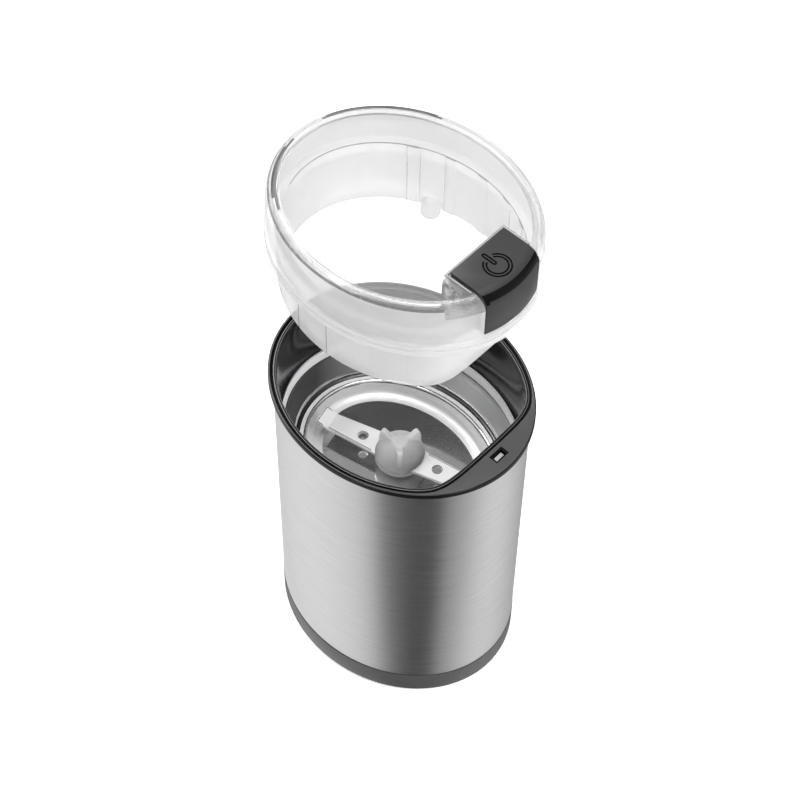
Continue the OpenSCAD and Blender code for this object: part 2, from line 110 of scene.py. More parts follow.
def fillet(points, radii, n=4):
    """Closed run of (inset, z) with its corners rounded."""
    out = []
    m = len(points)
    for i, p in enumerate(points):
        r = radii[i] if isinstance(radii, (list, tuple)) else radii
        if r <= 0:
            out.append(p)
            continue
        a, b = Vector(points[i - 1]), Vector(points[(i + 1) % m])
        q = Vector(p)
        u, v = (a - q), (b - q)
        r = min(r, u.length * 0.45, v.length * 0.45)
        u.normalize(); v.normalize()
        s, e = q + u * r, q + v * r
        for k in range(n + 1):
            t = k / n
            out.append(tuple((1 - t) ** 2 * s + 2 * t * (1 - t) * q + t * t * e))
    return out


def new_object(name, bm, angle=32):
    bmesh.ops.recalc_face_normals(bm, faces=bm.faces)
    me = bpy.data.meshes.new(name)
    bm.to_mesh(me)
    bm.free()
    me.transform(Matrix.Scale(MM, 4))
    ob = bpy.data.objects.new(name, me)
    bpy.context.scene.collection.objects.link(ob)
    me.shade_smooth()
    if angle:
        me.set_sharp_from_angle(angle=math.radians(angle))
    return ob


def skin(bm, rings, closed=True, cap0=False, cap1=False):
    rows = [[bm.verts.new(p) for p in r] for r in rings]
    n = len(rows[0])
    m = len(rows)
    for k in range(m if closed else m - 1):
        a, b = rows[k], rows[(k + 1) % m]
        for i in range(n):
            j = (i + 1) % n
            bm.faces.new((a[i], a[j], b[j], b[i]))
    if cap0:
        bm.faces.new(rows[0])
    if cap1:
        bm.faces.new(rows[-1])
    return rows


def add_box(bm, x0, x1, y0, y1, z0, z1):
    v = [bm.verts.new(p) for p in ((x0, y0, z0), (x1, y0, z0), (x1, y1, z0), (x0, y1, z0),
                                   (x0, y0, z1), (x1, y0, z1), (x1, y1, z1), (x0, y1, z1))]
    for f in ((0, 3, 2, 1), (4, 5, 6, 7), (0, 1, 5, 4), (1, 2, 6, 5), (2, 3, 7, 6), (3, 0, 4, 7)):
        bm.faces.new([v[i] for i in f])
    return v


def prism(bm, pts, z0, z1):
    lo = [bm.verts.new((p[0], p[1], z0)) for p in pts]
    hi = [bm.verts.new((p[0], p[1], z1)) for p in pts]
    n = len(pts)
    for i in range(n):
        j = (i + 1) % n
        bm.faces.new((lo[i], lo[j], hi[j], hi[i]))
    bm.faces.new(list(reversed(lo)))
    bm.faces.new(hi)


def tool(bm):
    """A cutter that is used up by boolean()."""
    ob = new_object("cutter", bm, 0)
    return ob


def boolean(ob, cutter, op="DIFFERENCE", angle=32):
    m = ob.modifiers.new("cut", "BOOLEAN")
    m.operation = op
    m.object = cutter
    m.solver = "EXACT"
    dg = bpy.context.evaluated_depsgraph_get()
    dg.update()
    me = bpy.data.meshes.new_from_object(ob.evaluated_get(dg))
    ob.modifiers.clear()
    old = ob.data
    ob.data = me
    bpy.data.meshes.remove(old)
    cm = cutter.data
    bpy.data.objects.remove(cutter)
    bpy.data.meshes.remove(cm)
    me.shade_smooth()
    if angle:
        me.set_sharp_from_angle(angle=math.radians(angle))
    return ob


def apply_all(ob, angle=32):
    dg = bpy.context.evaluated_depsgraph_get()
    dg.update()
    me = bpy.data.meshes.new_from_object(ob.evaluated_get(dg))
    ob.modifiers.clear()
    old = ob.data
    ob.data = me
    bpy.data.meshes.remove(old)
    me.shade_smooth()
    if angle:
        me.set_sharp_from_angle(angle=math.radians(angle))


def tidy(ob, dist=0.002, angle=30):
    """Merge doubled points and drop faces without area."""
    bm = bmesh.new()
    bm.from_mesh(ob.data)
    bmesh.ops.remove_doubles(bm, verts=bm.verts, dist=dist * MM)
    bmesh.ops.dissolve_degenerate(bm, edges=bm.edges, dist=dist * MM)
    gaps = [e for e in bm.edges if e.is_boundary]
    if gaps:
        bmesh.ops.holes_fill(bm, edges=gaps, sides=8)
    bm.to_mesh(ob.data)
    bm.free()
    ob.data.shade_smooth()
    ob.data.set_sharp_from_angle(angle=math.radians(angle))


def bevel(ob, width, segments=2, angle=40):
    m = ob.modifiers.new("bevel", "BEVEL")
    m.width = width * MM
    m.segments = segments
    m.limit_method = "ANGLE"
    m.angle_limit = math.radians(angle)
    m.harden_normals = False
    m.use_clamp_overlap = True


# ---------------------------------------------------------------- materials
class Mat:
    def __init__(self, name):
        self.m = bpy.data.materials.new(name)
        self.m.use_nodes = True
        self.t = self.m.node_tree
        self.b = self.t.nodes["Principled BSDF"]
        self.c = self.t.nodes.new("ShaderNodeTexCoord")

    def set(self, **kw):
        for k, v in kw.items():
            self.b.inputs[k.replace("_", " ")].default_value = v
        return self

    def mapped(self, scale):
        n = self.t.nodes.new("ShaderNodeMapping")
        n.inputs["Scale"].default_value = scale
        self.t.links.new(self.c.outputs["Object"], n.inputs["Vector"])
        return n.outputs["Vector"]

    def noise(self, scale, vec=None, detail=3, rough=0.5):
        n = self.t.nodes.new("ShaderNodeTexNoise")
        n.inputs["Scale"].default_value = scale
        n.inputs["Detail"].default_value = detail
        n.inputs["Roughness"].default_value = rough
        self.t.links.new(vec if vec is not None else self.c.outputs["Object"], n.inputs["Vector"])
        return n.outputs["Fac"]

    def span(self, fac, lo, hi, a=0.35, b=0.65):
        n = self.t.nodes.new("ShaderNodeMapRange")
        n.inputs["From Min"].default_value = a
        n.inputs["From Max"].default_value = b
        n.inputs["To Min"].default_value = lo
        n.inputs["To Max"].default_value = hi
        self.t.links.new(fac, n.inputs["Value"])
        return n.outputs["Result"]

    def ramp(self, fac, c0, c1, a=0.35, b=0.65):
        n = self.t.nodes.new("ShaderNodeValToRGB")
        n.color_ramp.elements[0].position = a
        n.color_ramp.elements[1].position = b
        n.color_ramp.elements[0].color = (*c0, 1)
        n.color_ramp.elements[1].color = (*c1, 1)
        self.t.links.new(fac, n.inputs["Fac"])
        return n.outputs["Color"]

    def link(self, out, name):
        self.t.links.new(out, self.b.inputs[name])
        return self

    def bump(self, fac, strength, dist):
        n = self.t.nodes.new("ShaderNodeBump")
        n.inputs["Strength"].default_value = strength
        n.inputs["Distance"].default_value = dist
        self.t.links.new(fac, n.inputs["Height"])
        self.t.links.new(n.outputs["Normal"], self.b.inputs["Normal"])
        return self


def plastic(name, col, rough, grain=900, depth=0.00003, strength=0.25, vary=0.12, spec=0.5):
    m = Mat(name)
    f = m.noise(grain, detail=4)
    big = m.noise(35, detail=3)
    m.link(m.ramp(big, tuple(c * (1 - vary) for c in col), tuple(min(1, c * (1 + vary)) for c in col)), "Base Color")
    m.link(m.span(big, rough * 0.85, rough * 1.2), "Roughness")
    m.bump(f, strength, depth)
    m.set(IOR=1.5, Specular_IOR_Level=spec)
    return m.m


def metal(name, col, rough, stretch=(1, 1, 1), scale=600, strength=0.15, vary=0.06, depth=0.00002, spread=0.35, full=1.0):
    m = Mat(name)
    v = m.mapped(stretch)
    f = m.noise(scale, v, detail=5, rough=0.6)
    m.link(m.ramp(f, tuple(c * (1 - vary) for c in col), tuple(min(1, c * (1 + vary)) for c in col), 0.25, 0.75), "Base Color")
    m.link(m.span(f, rough * (1 - spread), rough * (1 + spread), 0.25, 0.75), "Roughness")
    m.bump(f, strength, depth)
    m.set(Metallic=full)
    return m.m


def paint(ob, mat):
    ob.data.materials.clear()
    ob.data.materials.append(mat)


def carry(node, mat):
    ob = N[node]
    if not ob.material_slots:
        ob.data.materials.append(mat)
    for s in ob.material_slots:
        s.material = mat


def piece(ob, body, slot, mat, *nodes):
    paint(ob, mat)
    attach(ob, body)
    if nodes:
        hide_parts(*nodes)


# ---------------------------------------------------------------- camera
back = Vector((0.6674 * math.cos(math.radians(54.13)), -0.7447 * math.cos(math.radians(54.13)), math.sin(math.radians(54.13))))
right = Vector((0.7447, 0.6674, 0)).normalized()
fwd = -back.normalized()
up = right.cross(fwd).normalized()
roll = 0.0184
r2 = right * math.cos(roll) + up * math.sin(roll)
u2 = -right * math.sin(roll) + up * math.cos(roll)
target = Vector((-0.00023, -0.00021, 0.12384 + 0.0005))
cam_data = bpy.data.cameras.new("camera")
cam_data.sensor_width = 36
cam_data.lens = 96.75
cam_data.clip_start, cam_data.clip_end = 0.01, 20
cam = bpy.data.objects.new("camera", cam_data)
bpy.context.scene.collection.objects.link(cam)
cam.location = target + back * 0.7224
rot = Matrix((r2, u2, back)).transposed()
cam.rotation_euler = rot.to_euler()
bpy.context.scene.camera = cam

# ---------------------------------------------------------------- sleeve
bm = bmesh.new()
prof = fillet([(1.55, 10.75), (1.55, 131.05), (2.0, 131.05), (2.0, 10.75)], 0.12)
skin(bm, [oval_ring(d, z) for d, z in prof])
sleeve = new_object("steel_sleeve", bm)

# ---------------------------------------------------------------- base ring
bm = bmesh.new()
prof = fillet([(1.4, 0.5), (1.4, 10.2), (1.85, 10.2), (1.85, 10.65), (2.12, 10.65), (2.12, 14.0), (3.4, 14.0), (3.4, 0.5)],
              [0.5, 0.35, 0.02, 0.02, 0.02, 0.3, 0.3, 0.2])
skin(bm, [oval_ring(d, z) for d, z in prof])
base = new_object("base_ring_body", bm)
bm = bmesh.new()
ring0 = [(-50, 3.2 * math.cos(2 * math.pi * i / 48), 6 + 3.2 * math.sin(2 * math.pi * i / 48)) for i in range(48)]
ring1 = [(-40, p[1], p[2]) for p in ring0]
skin(bm, [ring0, ring1], closed=False, cap0=True, cap1=True)
boolean(base, tool(bm))

tidy(base, angle=32)

# ---------------------------------------------------------------- rim
CH = 37.3
bm = bmesh.new()
loop = [(0, None, RIM - 1.9), (0, None, RIM - 0.35), (0.12, None, RIM - 0.1), (0.4, None, RIM),
        (0.75, CH + 2.15, RIM), (0.92, CH + 2.1, RIM - 0.08), (1.0, CH + 2.05, RIM - 0.3), (1.05, CH + 2.0, RIM - 0.9),
        (1.7, CH + 1.3, RIM - 0.9), (1.75, CH + 1.25, RIM - 0.5), (1.85, CH + 1.15, RIM - 0.28), (2.1, CH + 0.95, RIM - 0.2),
        (2.55, CH + 0.4, RIM - 0.2), (2.85, CH + 0.1, RIM - 0.3), (2.95, CH, RIM - 0.6), (3.05, CH, RIM - 1.3), (3.3, CH, RIM - 2.4),
        (3.3, CH, RIM - 14), (3.3, CH, RIM - 26.7), (3.2, CH + 0.1, RIM - 27), (2.35, CH + 1.0, RIM - 27), (2.25, CH + 1.1, RIM - 26.8),
        (2.25, CH + 1.1, RIM - 12), (2.25, CH + 1.1, RIM - 2.0), (2.1, 44.6, RIM - 1.95)]
skin(bm, [oval_ring(d, z, xc) for d, xc, z in loop])
rim = new_object("rim_body", bm)
bm = bmesh.new()
add_box(bm, 40.7, 44.1, -1.95, 3.95, RIM - 6, RIM + 1)
boolean(rim, tool(bm))
# apron below the bridge, and the guide under the slot
bm = bmesh.new()
outline = [(-15.6, RIM - 26.8), (15.6, RIM - 26.8), (12.6, RIM - 34), (8.6, RIM - 41.3), (-8.6, RIM - 41.3), (-12.6, RIM - 34)]
a0 = [bm.verts.new((CH, y, z)) for y, z in outline]
a1 = [bm.verts.new((CH + 1.05, y, z)) for y, z in outline]
n = len(outline)
for i in range(n):
    j = (i + 1) % n
    bm.faces.new((a0[i], a0[j], a1[j], a1[i]))
bm.faces.new(a0); bm.faces.new(list(reversed(a1)))
g_out = [(40.2, -2.3), (44.6, -2.3), (44.6, 4.3), (40.2, 4.3)]
g_in = [(40.7, -1.95), (44.1, -1.95), (44.1, 3.95), (40.7, 3.95)]
skin(bm, [[(*p, RIM - 5.3) for p in g_out], [(*p, RIM - 1.92) for p in g_out], [(*p, RIM - 1.92) for p in g_in], [(*p, RIM - 5.3) for p in g_in]])
extra = new_object("rim_extra", bm, 30)
bm = bmesh.new()
bm.from_mesh(rim.data)
bm.from_mesh(extra.data)
bm.to_mesh(rim.data)
bm.free()
bpy.data.objects.remove(extra)
# collar in the slot, set a little below the bridge
bm = bmesh.new()
c_out = [(40.7, -1.95), (44.1, -1.95), (44.1, 3.95), (40.7, 3.95)]
c_in = [(41.1, -1.4), (43.7, -1.4), (43.7, 3.4), (41.1, 3.4)]
skin(bm, [[(*p, RIM - 5.25) for p in c_out], [(*p, RIM - 0.45) for p in c_out], [(*p, RIM - 0.5) for p in c_in], [(*p, RIM - 5.25) for p in c_in]])
collar = new_object("slot_collar", bm, 30)

# plunger under the slot, its top chamfered; the chamfer is painted black gloss as painted shade
foot = min((N["switch_plunger"].matrix_world @ v.co).z for v in N["switch_plunger"].data.vertices) / MM
bm = bmesh.new()
add_box(bm, 41.4, 43.4, -1.0, 3.0, foot, RIM - 1.2)
plunger = new_object("plunger_body", bm, 30)
bm = bmesh.new()
add_box(bm, 40.4, 44.1, -2.2, 4.2, foot + 0.8, foot + 2)
boolean(plunger, tool(bm), "UNION")
bevel(plunger, 0.28, 2, 40)
for key in ("head", "head_edge_painted_shade"):
    plunger.data.materials.append(bpy.data.materials.new(key))
plunger.modifiers["bevel"].material = 1
apply_all(plunger, 30)
plunger_index = [f.material_index for f in plunger.data.polygons]

# ---------------------------------------------------------------- cup
CUP_IN = [(3.55, 27.2), (3.75, 27.35), (3.9, 27.9), (4.2, 29.2), (4.45, 30.8), (4.6, 32.2), (4.9, 33.2), (5.3, 34), (6.4, 37), (7.4, 40),
          (7.7, 40.8), (8.1, 41.45), (8.7, 41.8), (9.4, 41.9), (10.2, 41.9), (10.8, 41.85), (11.3, 41.95), (11.75, 42.2), (12.15, 42.7),
          (12.6, 43.4), (13.2, 44.3), (13.75, 45.0), (14.2, 45.4), (14.8, 45.72), (15.6, 45.95), (16.6, 46.09), (17.6, 46.17), (18.2, 46.2)]
CUP_OUT = [(15.4, 47.0), (14.3, 46.8), (13.5, 46.3), (13, 45.6), (11.5, 43.4), (11, 42.85), (10.4, 42.7),
           (9, 42.7), (8, 42.4), (7.2, 41.6), (6.7, 40.2), (5.6, 37.1), (4.6, 34.2), (4, 32.3), (3.6, 30.2), (3.3, 28.6), (3.25, 27.5), (3.35, 27.25)]


def smooth_run(pts, times=2):
    for _ in range(times):
        out = [pts[0]]
        for p, q in zip(pts, pts[1:]):
            out.append((p[0] * .75 + q[0] * .25, p[1] * .75 + q[1] * .25))
            out.append((p[0] * .25 + q[0] * .75, p[1] * .25 + q[1] * .75))
        out.append(pts[-1])
        pts = out
    return pts


bm = bmesh.new()
rings = [oval_ring(d, RIM - q) for d, q in smooth_run(CUP_IN)]
rings += [circle_ring(4.4, RIM - 46.2), circle_ring(4.4, RIM - 47.0)]
rings += [oval_ring(d, RIM - q) for d, q in CUP_OUT]
skin(bm, rings)
cup = new_object("cup_body", bm, 50)

# ---------------------------------------------------------------- blade
BZ = RIM - 40.85
BT = 1.2
ANG = math.radians(13.8)
# outline of the two arms, once round
full = [(-27.5, -3.5), (-22, -3.83), (-14, -4.32), (-8, -4.7), (0, -4.9), (8, -4.7), (14, -4.32), (22, -3.83), (27.5, -3.5),
        (27.5, 3.5), (22, 3.83), (14, 4.32), (8, 4.7), (0, 4.9), (-8, 4.7), (-14, 4.32), (-22, 3.83), (-27.5, 3.5)]
bm = bmesh.new()
prism(bm, full, BZ, BZ + BT)
blade = new_object("blade_body", bm, 30)
for s in (-1, 1):
    bm = bmesh.new()
    skin(bm, [circle_ring(1.6, BZ - 2, 48, s * 14.7), circle_ring(1.6, BZ + 4, 48, s * 14.7)], closed=False, cap0=True, cap1=True)
    boolean(blade, tool(bm))
bm = bmesh.new()
skin(bm, [circle_ring(3.0, BZ - 2, 48), circle_ring(3.0, BZ + 4, 48)], closed=False, cap0=True, cap1=True)
boolean(blade, tool(bm))
# ground edges: a wedge off the top of each arm's leading edge
for s in (0, 1):
    bm = bmesh.new()
    w = [(9, 5.4, BZ + 1.35), (9, 3.95, BZ + 1.35), (9, 5.4, BZ + 0.2), (27.7, 4.25, BZ + 1.35), (27.7, 2.8, BZ + 1.35), (27.7, 4.25, BZ + 0.2)]
    v = [bm.verts.new(p) for p in w]
    for f in ((0, 1, 2), (3, 5, 4), (0, 3, 4, 1), (1, 4, 5, 2), (2, 5, 3, 0)):
        bm.faces.new([v[i] for i in f])
    if s:
        bmesh.ops.rotate(bm, verts=bm.verts, cent=(0, 0, 0), matrix=Matrix.Rotation(math.pi, 3, "Z"))
    boolean(blade, tool(bm))
# raised tips
bm = bmesh.new()
for s in (0, math.pi):
    before = set(bm.verts)
    c, sn = math.cos(math.radians(22)), math.sin(math.radians(22))
    prof = [(27.3, 0.02), (31.65, 4.3 * sn / c)]
    lo, hi = [], []
    for (x, dz), hw in zip(prof, (3.5, 3.78)):
        lo.append([bm.verts.new((x, -hw, BZ + dz)), bm.verts.new((x, hw, BZ + dz))])
        hi.append([bm.verts.new((x - BT * sn * 0.5, -hw, BZ + dz + BT)), bm.verts.new((x - BT * sn * 0.5, hw, BZ + dz + BT))])
    a, b = lo
    d, e = hi
    for f in ((a[0], a[1], b[1], b[0]), (d[0], e[0], e[1], d[1]), (a[0], b[0], e[0], d[0]), (a[1], d[1], e[1], b[1]),
              (b[0], b[1], e[1], e[0]), (a[0], d[0], d[1], a[1])):
        bm.faces.new(f)
    new = [v for v in bm.verts if v not in before]
    if s:
        bmesh.ops.rotate(bm, verts=new, cent=(0, 0, 0), matrix=Matrix.Rotation(math.pi, 3, "Z"))
tips = new_object("tips", bm, 30)
boolean(blade, tips, "UNION", 30)
blade.data.transform(Matrix.Rotation(ANG, 4, "Z"))
tidy(blade, 0.001, 30)


def ribbon(bm, p, q, up, w, t=0.04):
    """A low raised line from p to q on a surface whose normal is up."""
    p, q, up = Vector(p), Vector(q), Vector(up).normalized()
    side = (q - p).cross(up).normalized() * w / 2
    v = [bm.verts.new(c) for c in (p - side, p + side, q + side, q - side, p - side + up * t, p + side + up * t, q + side + up * t, q - side + up * t)]
    for f in ((0, 3, 2, 1), (4, 5, 6, 7), (0, 1, 5, 4), (1, 2, 6, 5), (2, 3, 7, 6), (3, 0, 4, 7)):
        bm.faces.new([v[i] for i in f])


# dark lines, painted shade on the edges: round the raised tips, along the ground edges and round the holes
bm = bmesh.new()
for s in (0, math.pi):
    before = set(bm.verts)
    slope = math.radians(22)
    flap = Vector((-math.sin(slope), 0, math.cos(slope)))

    def tip(u, v):
        return (27.2 + 4.05 * u, (3.42 + 0.26 * u) * v, BZ + BT + 4.05 * u * math.tan(slope) - 0.02 + 0.03)

    for a, b in (((0.03, -0.97), (0.97, -0.97)), ((0.97, -0.97), (0.97, 0.97)), ((0.97, 0.97), (0.03, 0.97)), ((0.03, 0.97), (0.03, -0.97))):
        ribbon(bm, tip(*a), tip(*b), flap, 0.26)
    ribbon(bm, (9.2, 4.0, BZ + BT), (26.9, 2.95, BZ + BT), (0, 0, 1), 0.2)
    for k in range(24):
        a0, a1 = 2 * math.pi * k / 24, 2 * math.pi * (k + 1) / 24
        ribbon(bm, (14.7 + 1.78 * math.cos(a0), 1.78 * math.sin(a0), BZ + BT), (14.7 + 1.78 * math.cos(a1), 1.78 * math.sin(a1), BZ + BT), (0, 0, 1), 0.22)
    new = [v for v in bm.verts if v not in before]
    bmesh.ops.rotate(bm, verts=new, cent=(0, 0, 0), matrix=Matrix.Rotation(s + ANG, 3, "Z"))
edge_lines = new_object("blade_painted_shade_lines", bm, 30)

# ---------------------------------------------------------------- hub
HZ = BZ + BT


def hub_ring(r, z):
    return circle_ring(r, HZ + z, 96)


bm = bmesh.new()
prof = [(0.0, 6.6), (2.4, 6.6), (3.0, 6.3), (4.4, 5.4), (6.2, 4.1), (7.6, 2.55), (8.35, 1.35), (8.7, 0.65), (8.7, -0.35), (8.2, -0.6), (8.15, -1.0), (8.8, -1.25),
        (8.8, -2.35), (8.65, -2.7), (8.4, -2.85), (7.2, -5.05), (6.85, -5.4), (3.05, -5.4), (3.05, 4.3), (0.0, 4.3)]
top = bm.verts.new((0, 0, HZ + 6.6))
bot = bm.verts.new((0, 0, HZ + 4.3))
rows = [[bm.verts.new(p) for p in hub_ring(r, z)] for r, z in prof[1:-1]]
for a, b in zip(rows, rows[1:]):
    for i in range(96):
        j = (i + 1) % 96
        bm.faces.new((a[i], a[j], b[j], b[i]))
for i in range(96):
    j = (i + 1) % 96
    bm.faces.new((top, rows[0][j], rows[0][i]))
    bm.faces.new((bot, rows[-1][i], rows[-1][j]))
hub = new_object("hub_body", bm, 30)
FIN = [(0, -0.5), (7.9, -0.5), (8.1, 0.2), (8.0, 5.3), (7.8, 7.1), (7.45, 8.1), (7.0, 8.65), (6.5, 8.8), (5.9, 8.7), (4.4, 7.6), (3.2, 6.75), (0, 6.6)]
for k in range(3):
    a = math.radians(-48 + 120 * k)
    bm = bmesh.new()
    f0, f1 = [], []
    for r, z in FIN:
        for lst, y in ((f0, -1.0), (f1, 1.0)):
            lst.append(bm.verts.new((r * math.cos(a) - y * math.sin(a), r * math.sin(a) + y * math.cos(a), HZ + z)))
    n = len(FIN)
    for i in range(n):
        j = (i + 1) % n
        bm.faces.new((f0[i], f0[j], f1[j], f1[i]))
    bm.faces.new(f0); bm.faces.new(list(reversed(f1)))
    boolean(hub, tool(bm), "UNION")
# seat for the blade
bm = bmesh.new()
prism(bm, full, BZ - 0.02, BZ + BT + 0.02)
bmesh.ops.rotate(bm, verts=bm.verts, cent=(0, 0, 0), matrix=Matrix.Rotation(ANG, 3, "Z"))
boolean(hub, tool(bm))
rm = hub.modifiers.new("remesh", "REMESH")
rm.mode = "VOXEL"
rm.voxel_size = 0.2 * MM
sm = hub.modifiers.new("smooth", "SMOOTH")
sm.factor = 0.5
sm.iterations = 3
apply_all(hub, 0)

# ---------------------------------------------------------------- lid
FD, BD, SD, LT = 1.7, 2.6, 5.1, 2.2
ER, LH = 4.6, 21.0
SC = CH - 1.3
IC = CH - 3.5


def lid_dome(e, r, z0=None):
    """(inset, z) up the dome's side, moved in by e."""
    out = [] if z0 is None else [(BD + e, z0)]
    for k in range(9):
        t = math.radians(90 * k / 8)
        out.append((BD + e + (r - e) * (1 - math.cos(t)), LH - r + (r - e) * math.sin(t)))
    return out


RIBS = [(-22, 1.9), (-10, 1.9), (2.7, 1.9), (14, 1.8), (23.6, 1.7)]
ANGLES = {2 * math.pi * i / SEG: 0 for i in range(SEG)}
EDGES = []
for rx, hw in RIBS:
    for xe in (rx - hw, rx + hw):
        for off in (-0.17, 0.17):
            t = math.acos((xe + off) / (A - SD - LT))
            ANGLES[t] = 1
            ANGLES[2 * math.pi - t] = 1
            if off < 0:
                EDGES.append(t)
                EDGES.append(2 * math.pi - t)
ANGLES = sorted(a for a in ANGLES if ANGLES[a] or min(abs(a - b) for b in ANGLES if ANGLES[b]) > 0.006)


def lid_mesh():
    bm = bmesh.new()
    outer = [(d, None, z) for d, z in lid_dome(0, ER)][::-1]
    outer += [(BD, None, 9), (BD, None, 5.7), (BD - 0.12, None, 5.35), (BD - 0.35, None, 5.2), (FD + 0.3, None, 5.2), (FD + 0.08, None, 5.1), (FD, None, 4.85),
              (FD, None, 3.1), (FD + 0.1, None, 2.82), (FD + 0.4, None, 2.75), (FD + 0.4, None, 2.42), (FD + 0.1, None, 2.35), (FD, None, 2.2),
              (FD, None, 0.35), (FD + 0.1, None, 0.1), (FD + 0.35, None, 0.0)]
    outer += [(SD - 0.15, SC + 0.15, 0.0), (SD, SC, -0.2), (SD, SC, -6), (SD, SC, -12), (SD, SC, -SK + 0.5), (SD + 0.15, SC - 0.1, -SK + 0.1), (SD + 0.5, SC - 0.5, -SK)]
    inner = [(SD + LT - 0.5, IC + 0.5, -SK), (SD + LT - 0.15, IC + 0.1, -SK + 0.1), (SD + LT, IC, -SK + 0.5), (SD + LT, IC, -12), (SD + LT, IC, -6),
             (SD + LT, IC, 0), (SD + LT, IC, 6.2), (SD + LT - 0.12, IC + 0.15, 6.6), (SD + LT - 0.45, IC + 0.6, 6.75)]
    inner += [(BD + LT + 0.3, None, 6.75), (BD + LT + 0.05, None, 6.9), (BD + LT, None, 7.3)]
    inner += [(d, None, z) for d, z in lid_dome(LT, ER)]
    rows = []
    for kind, run in (("o", outer), ("i", inner)):
        for d, xc, z in run:
            ring = oval_ring(d, LIDZ + z, xc, ANGLES)
            if xc is not None and (kind == "o" and -SK + 0.3 < z < -0.3 or kind == "i" and z < 6.3 and d > SD + 1):
                ring2 = []
                for t, (x, y, zz) in zip(ANGLES, ring):
                    k = 0.0
                    if kind == "i":
                        for rx, hw in RIBS:
                            if abs(y) > 12 and abs(x - rx) < hw + 0.02:
                                k = 0.35
                    elif min(abs(t - e) for e in EDGES) < 0.0015:
                        k = 0.1
                    s = 1 - k / math.hypot(x, y)
                    ring2.append((x * s, y * s, zz))
                ring = ring2
            rows.append([bm.verts.new(p) for p in ring])
    m = len(rows)
    n = len(ANGLES)
    for k in range(m - 1):
        a, b = rows[k], rows[k + 1]
        for i in range(n):
            j = (i + 1) % n
            bm.faces.new((a[i], a[j], b[j], b[i]))
    # flat top, outside and inside
    for row, z in ((rows[0], LH), (rows[-1], LH - LT)):
        c = bm.verts.new((0, 0, LIDZ + z))
        prev = row
        for s in (0.7, 0.4):
            nxt = [bm.verts.new((v.co.x * s, v.co.y * s, LIDZ + z)) for v in row]
            for i in range(n):
                j = (i + 1) % n
                bm.faces.new((prev[i], prev[j], nxt[j], nxt[i]))
            prev = nxt
        for i in range(n):
            bm.faces.new((prev[i], prev[(i + 1) % n], c))
    return bm


lid = new_object("lid_body", lid_mesh(), 30)
# bay for the button
BY, BX = 12.1, 28.6
bm = bmesh.new()
add_box(bm, BX, 60, -BY, BY, LIDZ + 6.7, LIDZ + LH + 1)
boolean(lid, tool(bm), angle=30)
bm = bmesh.new()
ri = [p for p in oval_ring(4.5, LIDZ + 1.6)]
ro = [p for p in oval_ring(2.35, LIDZ + 1.6)]
skin(bm, [ri, ro, oval_ring(2.35, LIDZ + 6.71), oval_ring(4.5, LIDZ + 6.71)])
slotcut = tool(bm)
bm = bmesh.new()
add_box(bm, BX + 5, 60, -BY, BY, LIDZ + 1.0, LIDZ + 7.5)
boolean(slotcut, tool(bm), "INTERSECT", 0)
boolean(lid, slotcut, angle=30)
bm = bmesh.new()
add_box(bm, 41.1, 43.7, -1.3, 3.3, LIDZ - 1, LIDZ + 10)
boolean(lid, tool(bm), angle=30)

# peg at the foot of the back wall
bm = bmesh.new()
rings = [circle_ring(r, LIDZ + z, 48, -14.4, 28.6) for r, z in ((2.7, -SK), (3.1, -SK + 0.1), (3.3, -SK + 0.5), (3.3, -SK + 4), (3.1, -SK + 4.6), (2.5, -SK + 4.95), (1.6, -SK + 5))]
skin(bm, rings, closed=False, cap0=True, cap1=True)
boolean(lid, tool(bm), "UNION", 30)

tidy(lid)

# clear housing round the button
bm = bmesh.new()
add_box(bm, BX - 1.3, 43.05, -BY - 1.3, BY + 1.3, LIDZ + 6.8, LIDZ + 18.7)
housing = new_object("housing_body", bm, 30)
for cut in ((BX, 60, -BY, BY, 12.6, 40), (BX, 39.2, -BY, BY, 5, 11.2), (40.6, 60, -BY - 3, BY + 3, 5, 12.8)):
    bm = bmesh.new()
    add_box(bm, *cut[:4], LIDZ + cut[4], LIDZ + cut[5])
    boolean(housing, tool(bm))
bm = bmesh.new()
skin(bm, [oval_ring(d, LIDZ + z) for d, z in lid_dome(LT + 0.1, ER, 6.6)], closed=False, cap0=True, cap1=True)
boolean(housing, tool(bm), "INTERSECT")
bm = bmesh.new()
skin(bm, [circle_ring(1.6, LIDZ + 12.5, 48, 35.5), circle_ring(1.6, LIDZ + 15.5, 48, 35.5), circle_ring(1.2, LIDZ + 15.9, 48, 35.5)], closed=False, cap0=True, cap1=True)
boolean(housing, tool(bm), "UNION")
bevel(housing, 0.25, 2, 40)
apply_all(housing, 30)



def coil(name, r, w, z0, z1, turns, cx):
    """A wire coil of radius r and wire radius w, its ends closed."""
    bm = bmesh.new()
    steps = turns * 32
    rings = []
    for k in range(steps + 1):
        t = 2 * math.pi * turns * k / steps
        z = z0 + w + (z1 - z0 - 2 * w) * k / steps
        rings.append([(cx + (r + w * math.cos(u)) * math.cos(t), (r + w * math.cos(u)) * math.sin(t), z + w * math.sin(u))
                      for u in [2 * math.pi * j / 10 for j in range(10)]])
    skin(bm, rings, closed=False, cap0=True, cap1=True)
    return new_object(name, bm, 50)


# the spring's two halves, one inside the other, so that it closes up as the button goes down
spring_low = coil("spring_lower_coil", 3.15, 0.3, LIDZ + 12.62, LIDZ + 16.2, 3, 35.5)
spring_top = coil("spring_upper_coil", 2.35, 0.3, LIDZ + 15.95, LIDZ + 19.35, 3, 35.5)

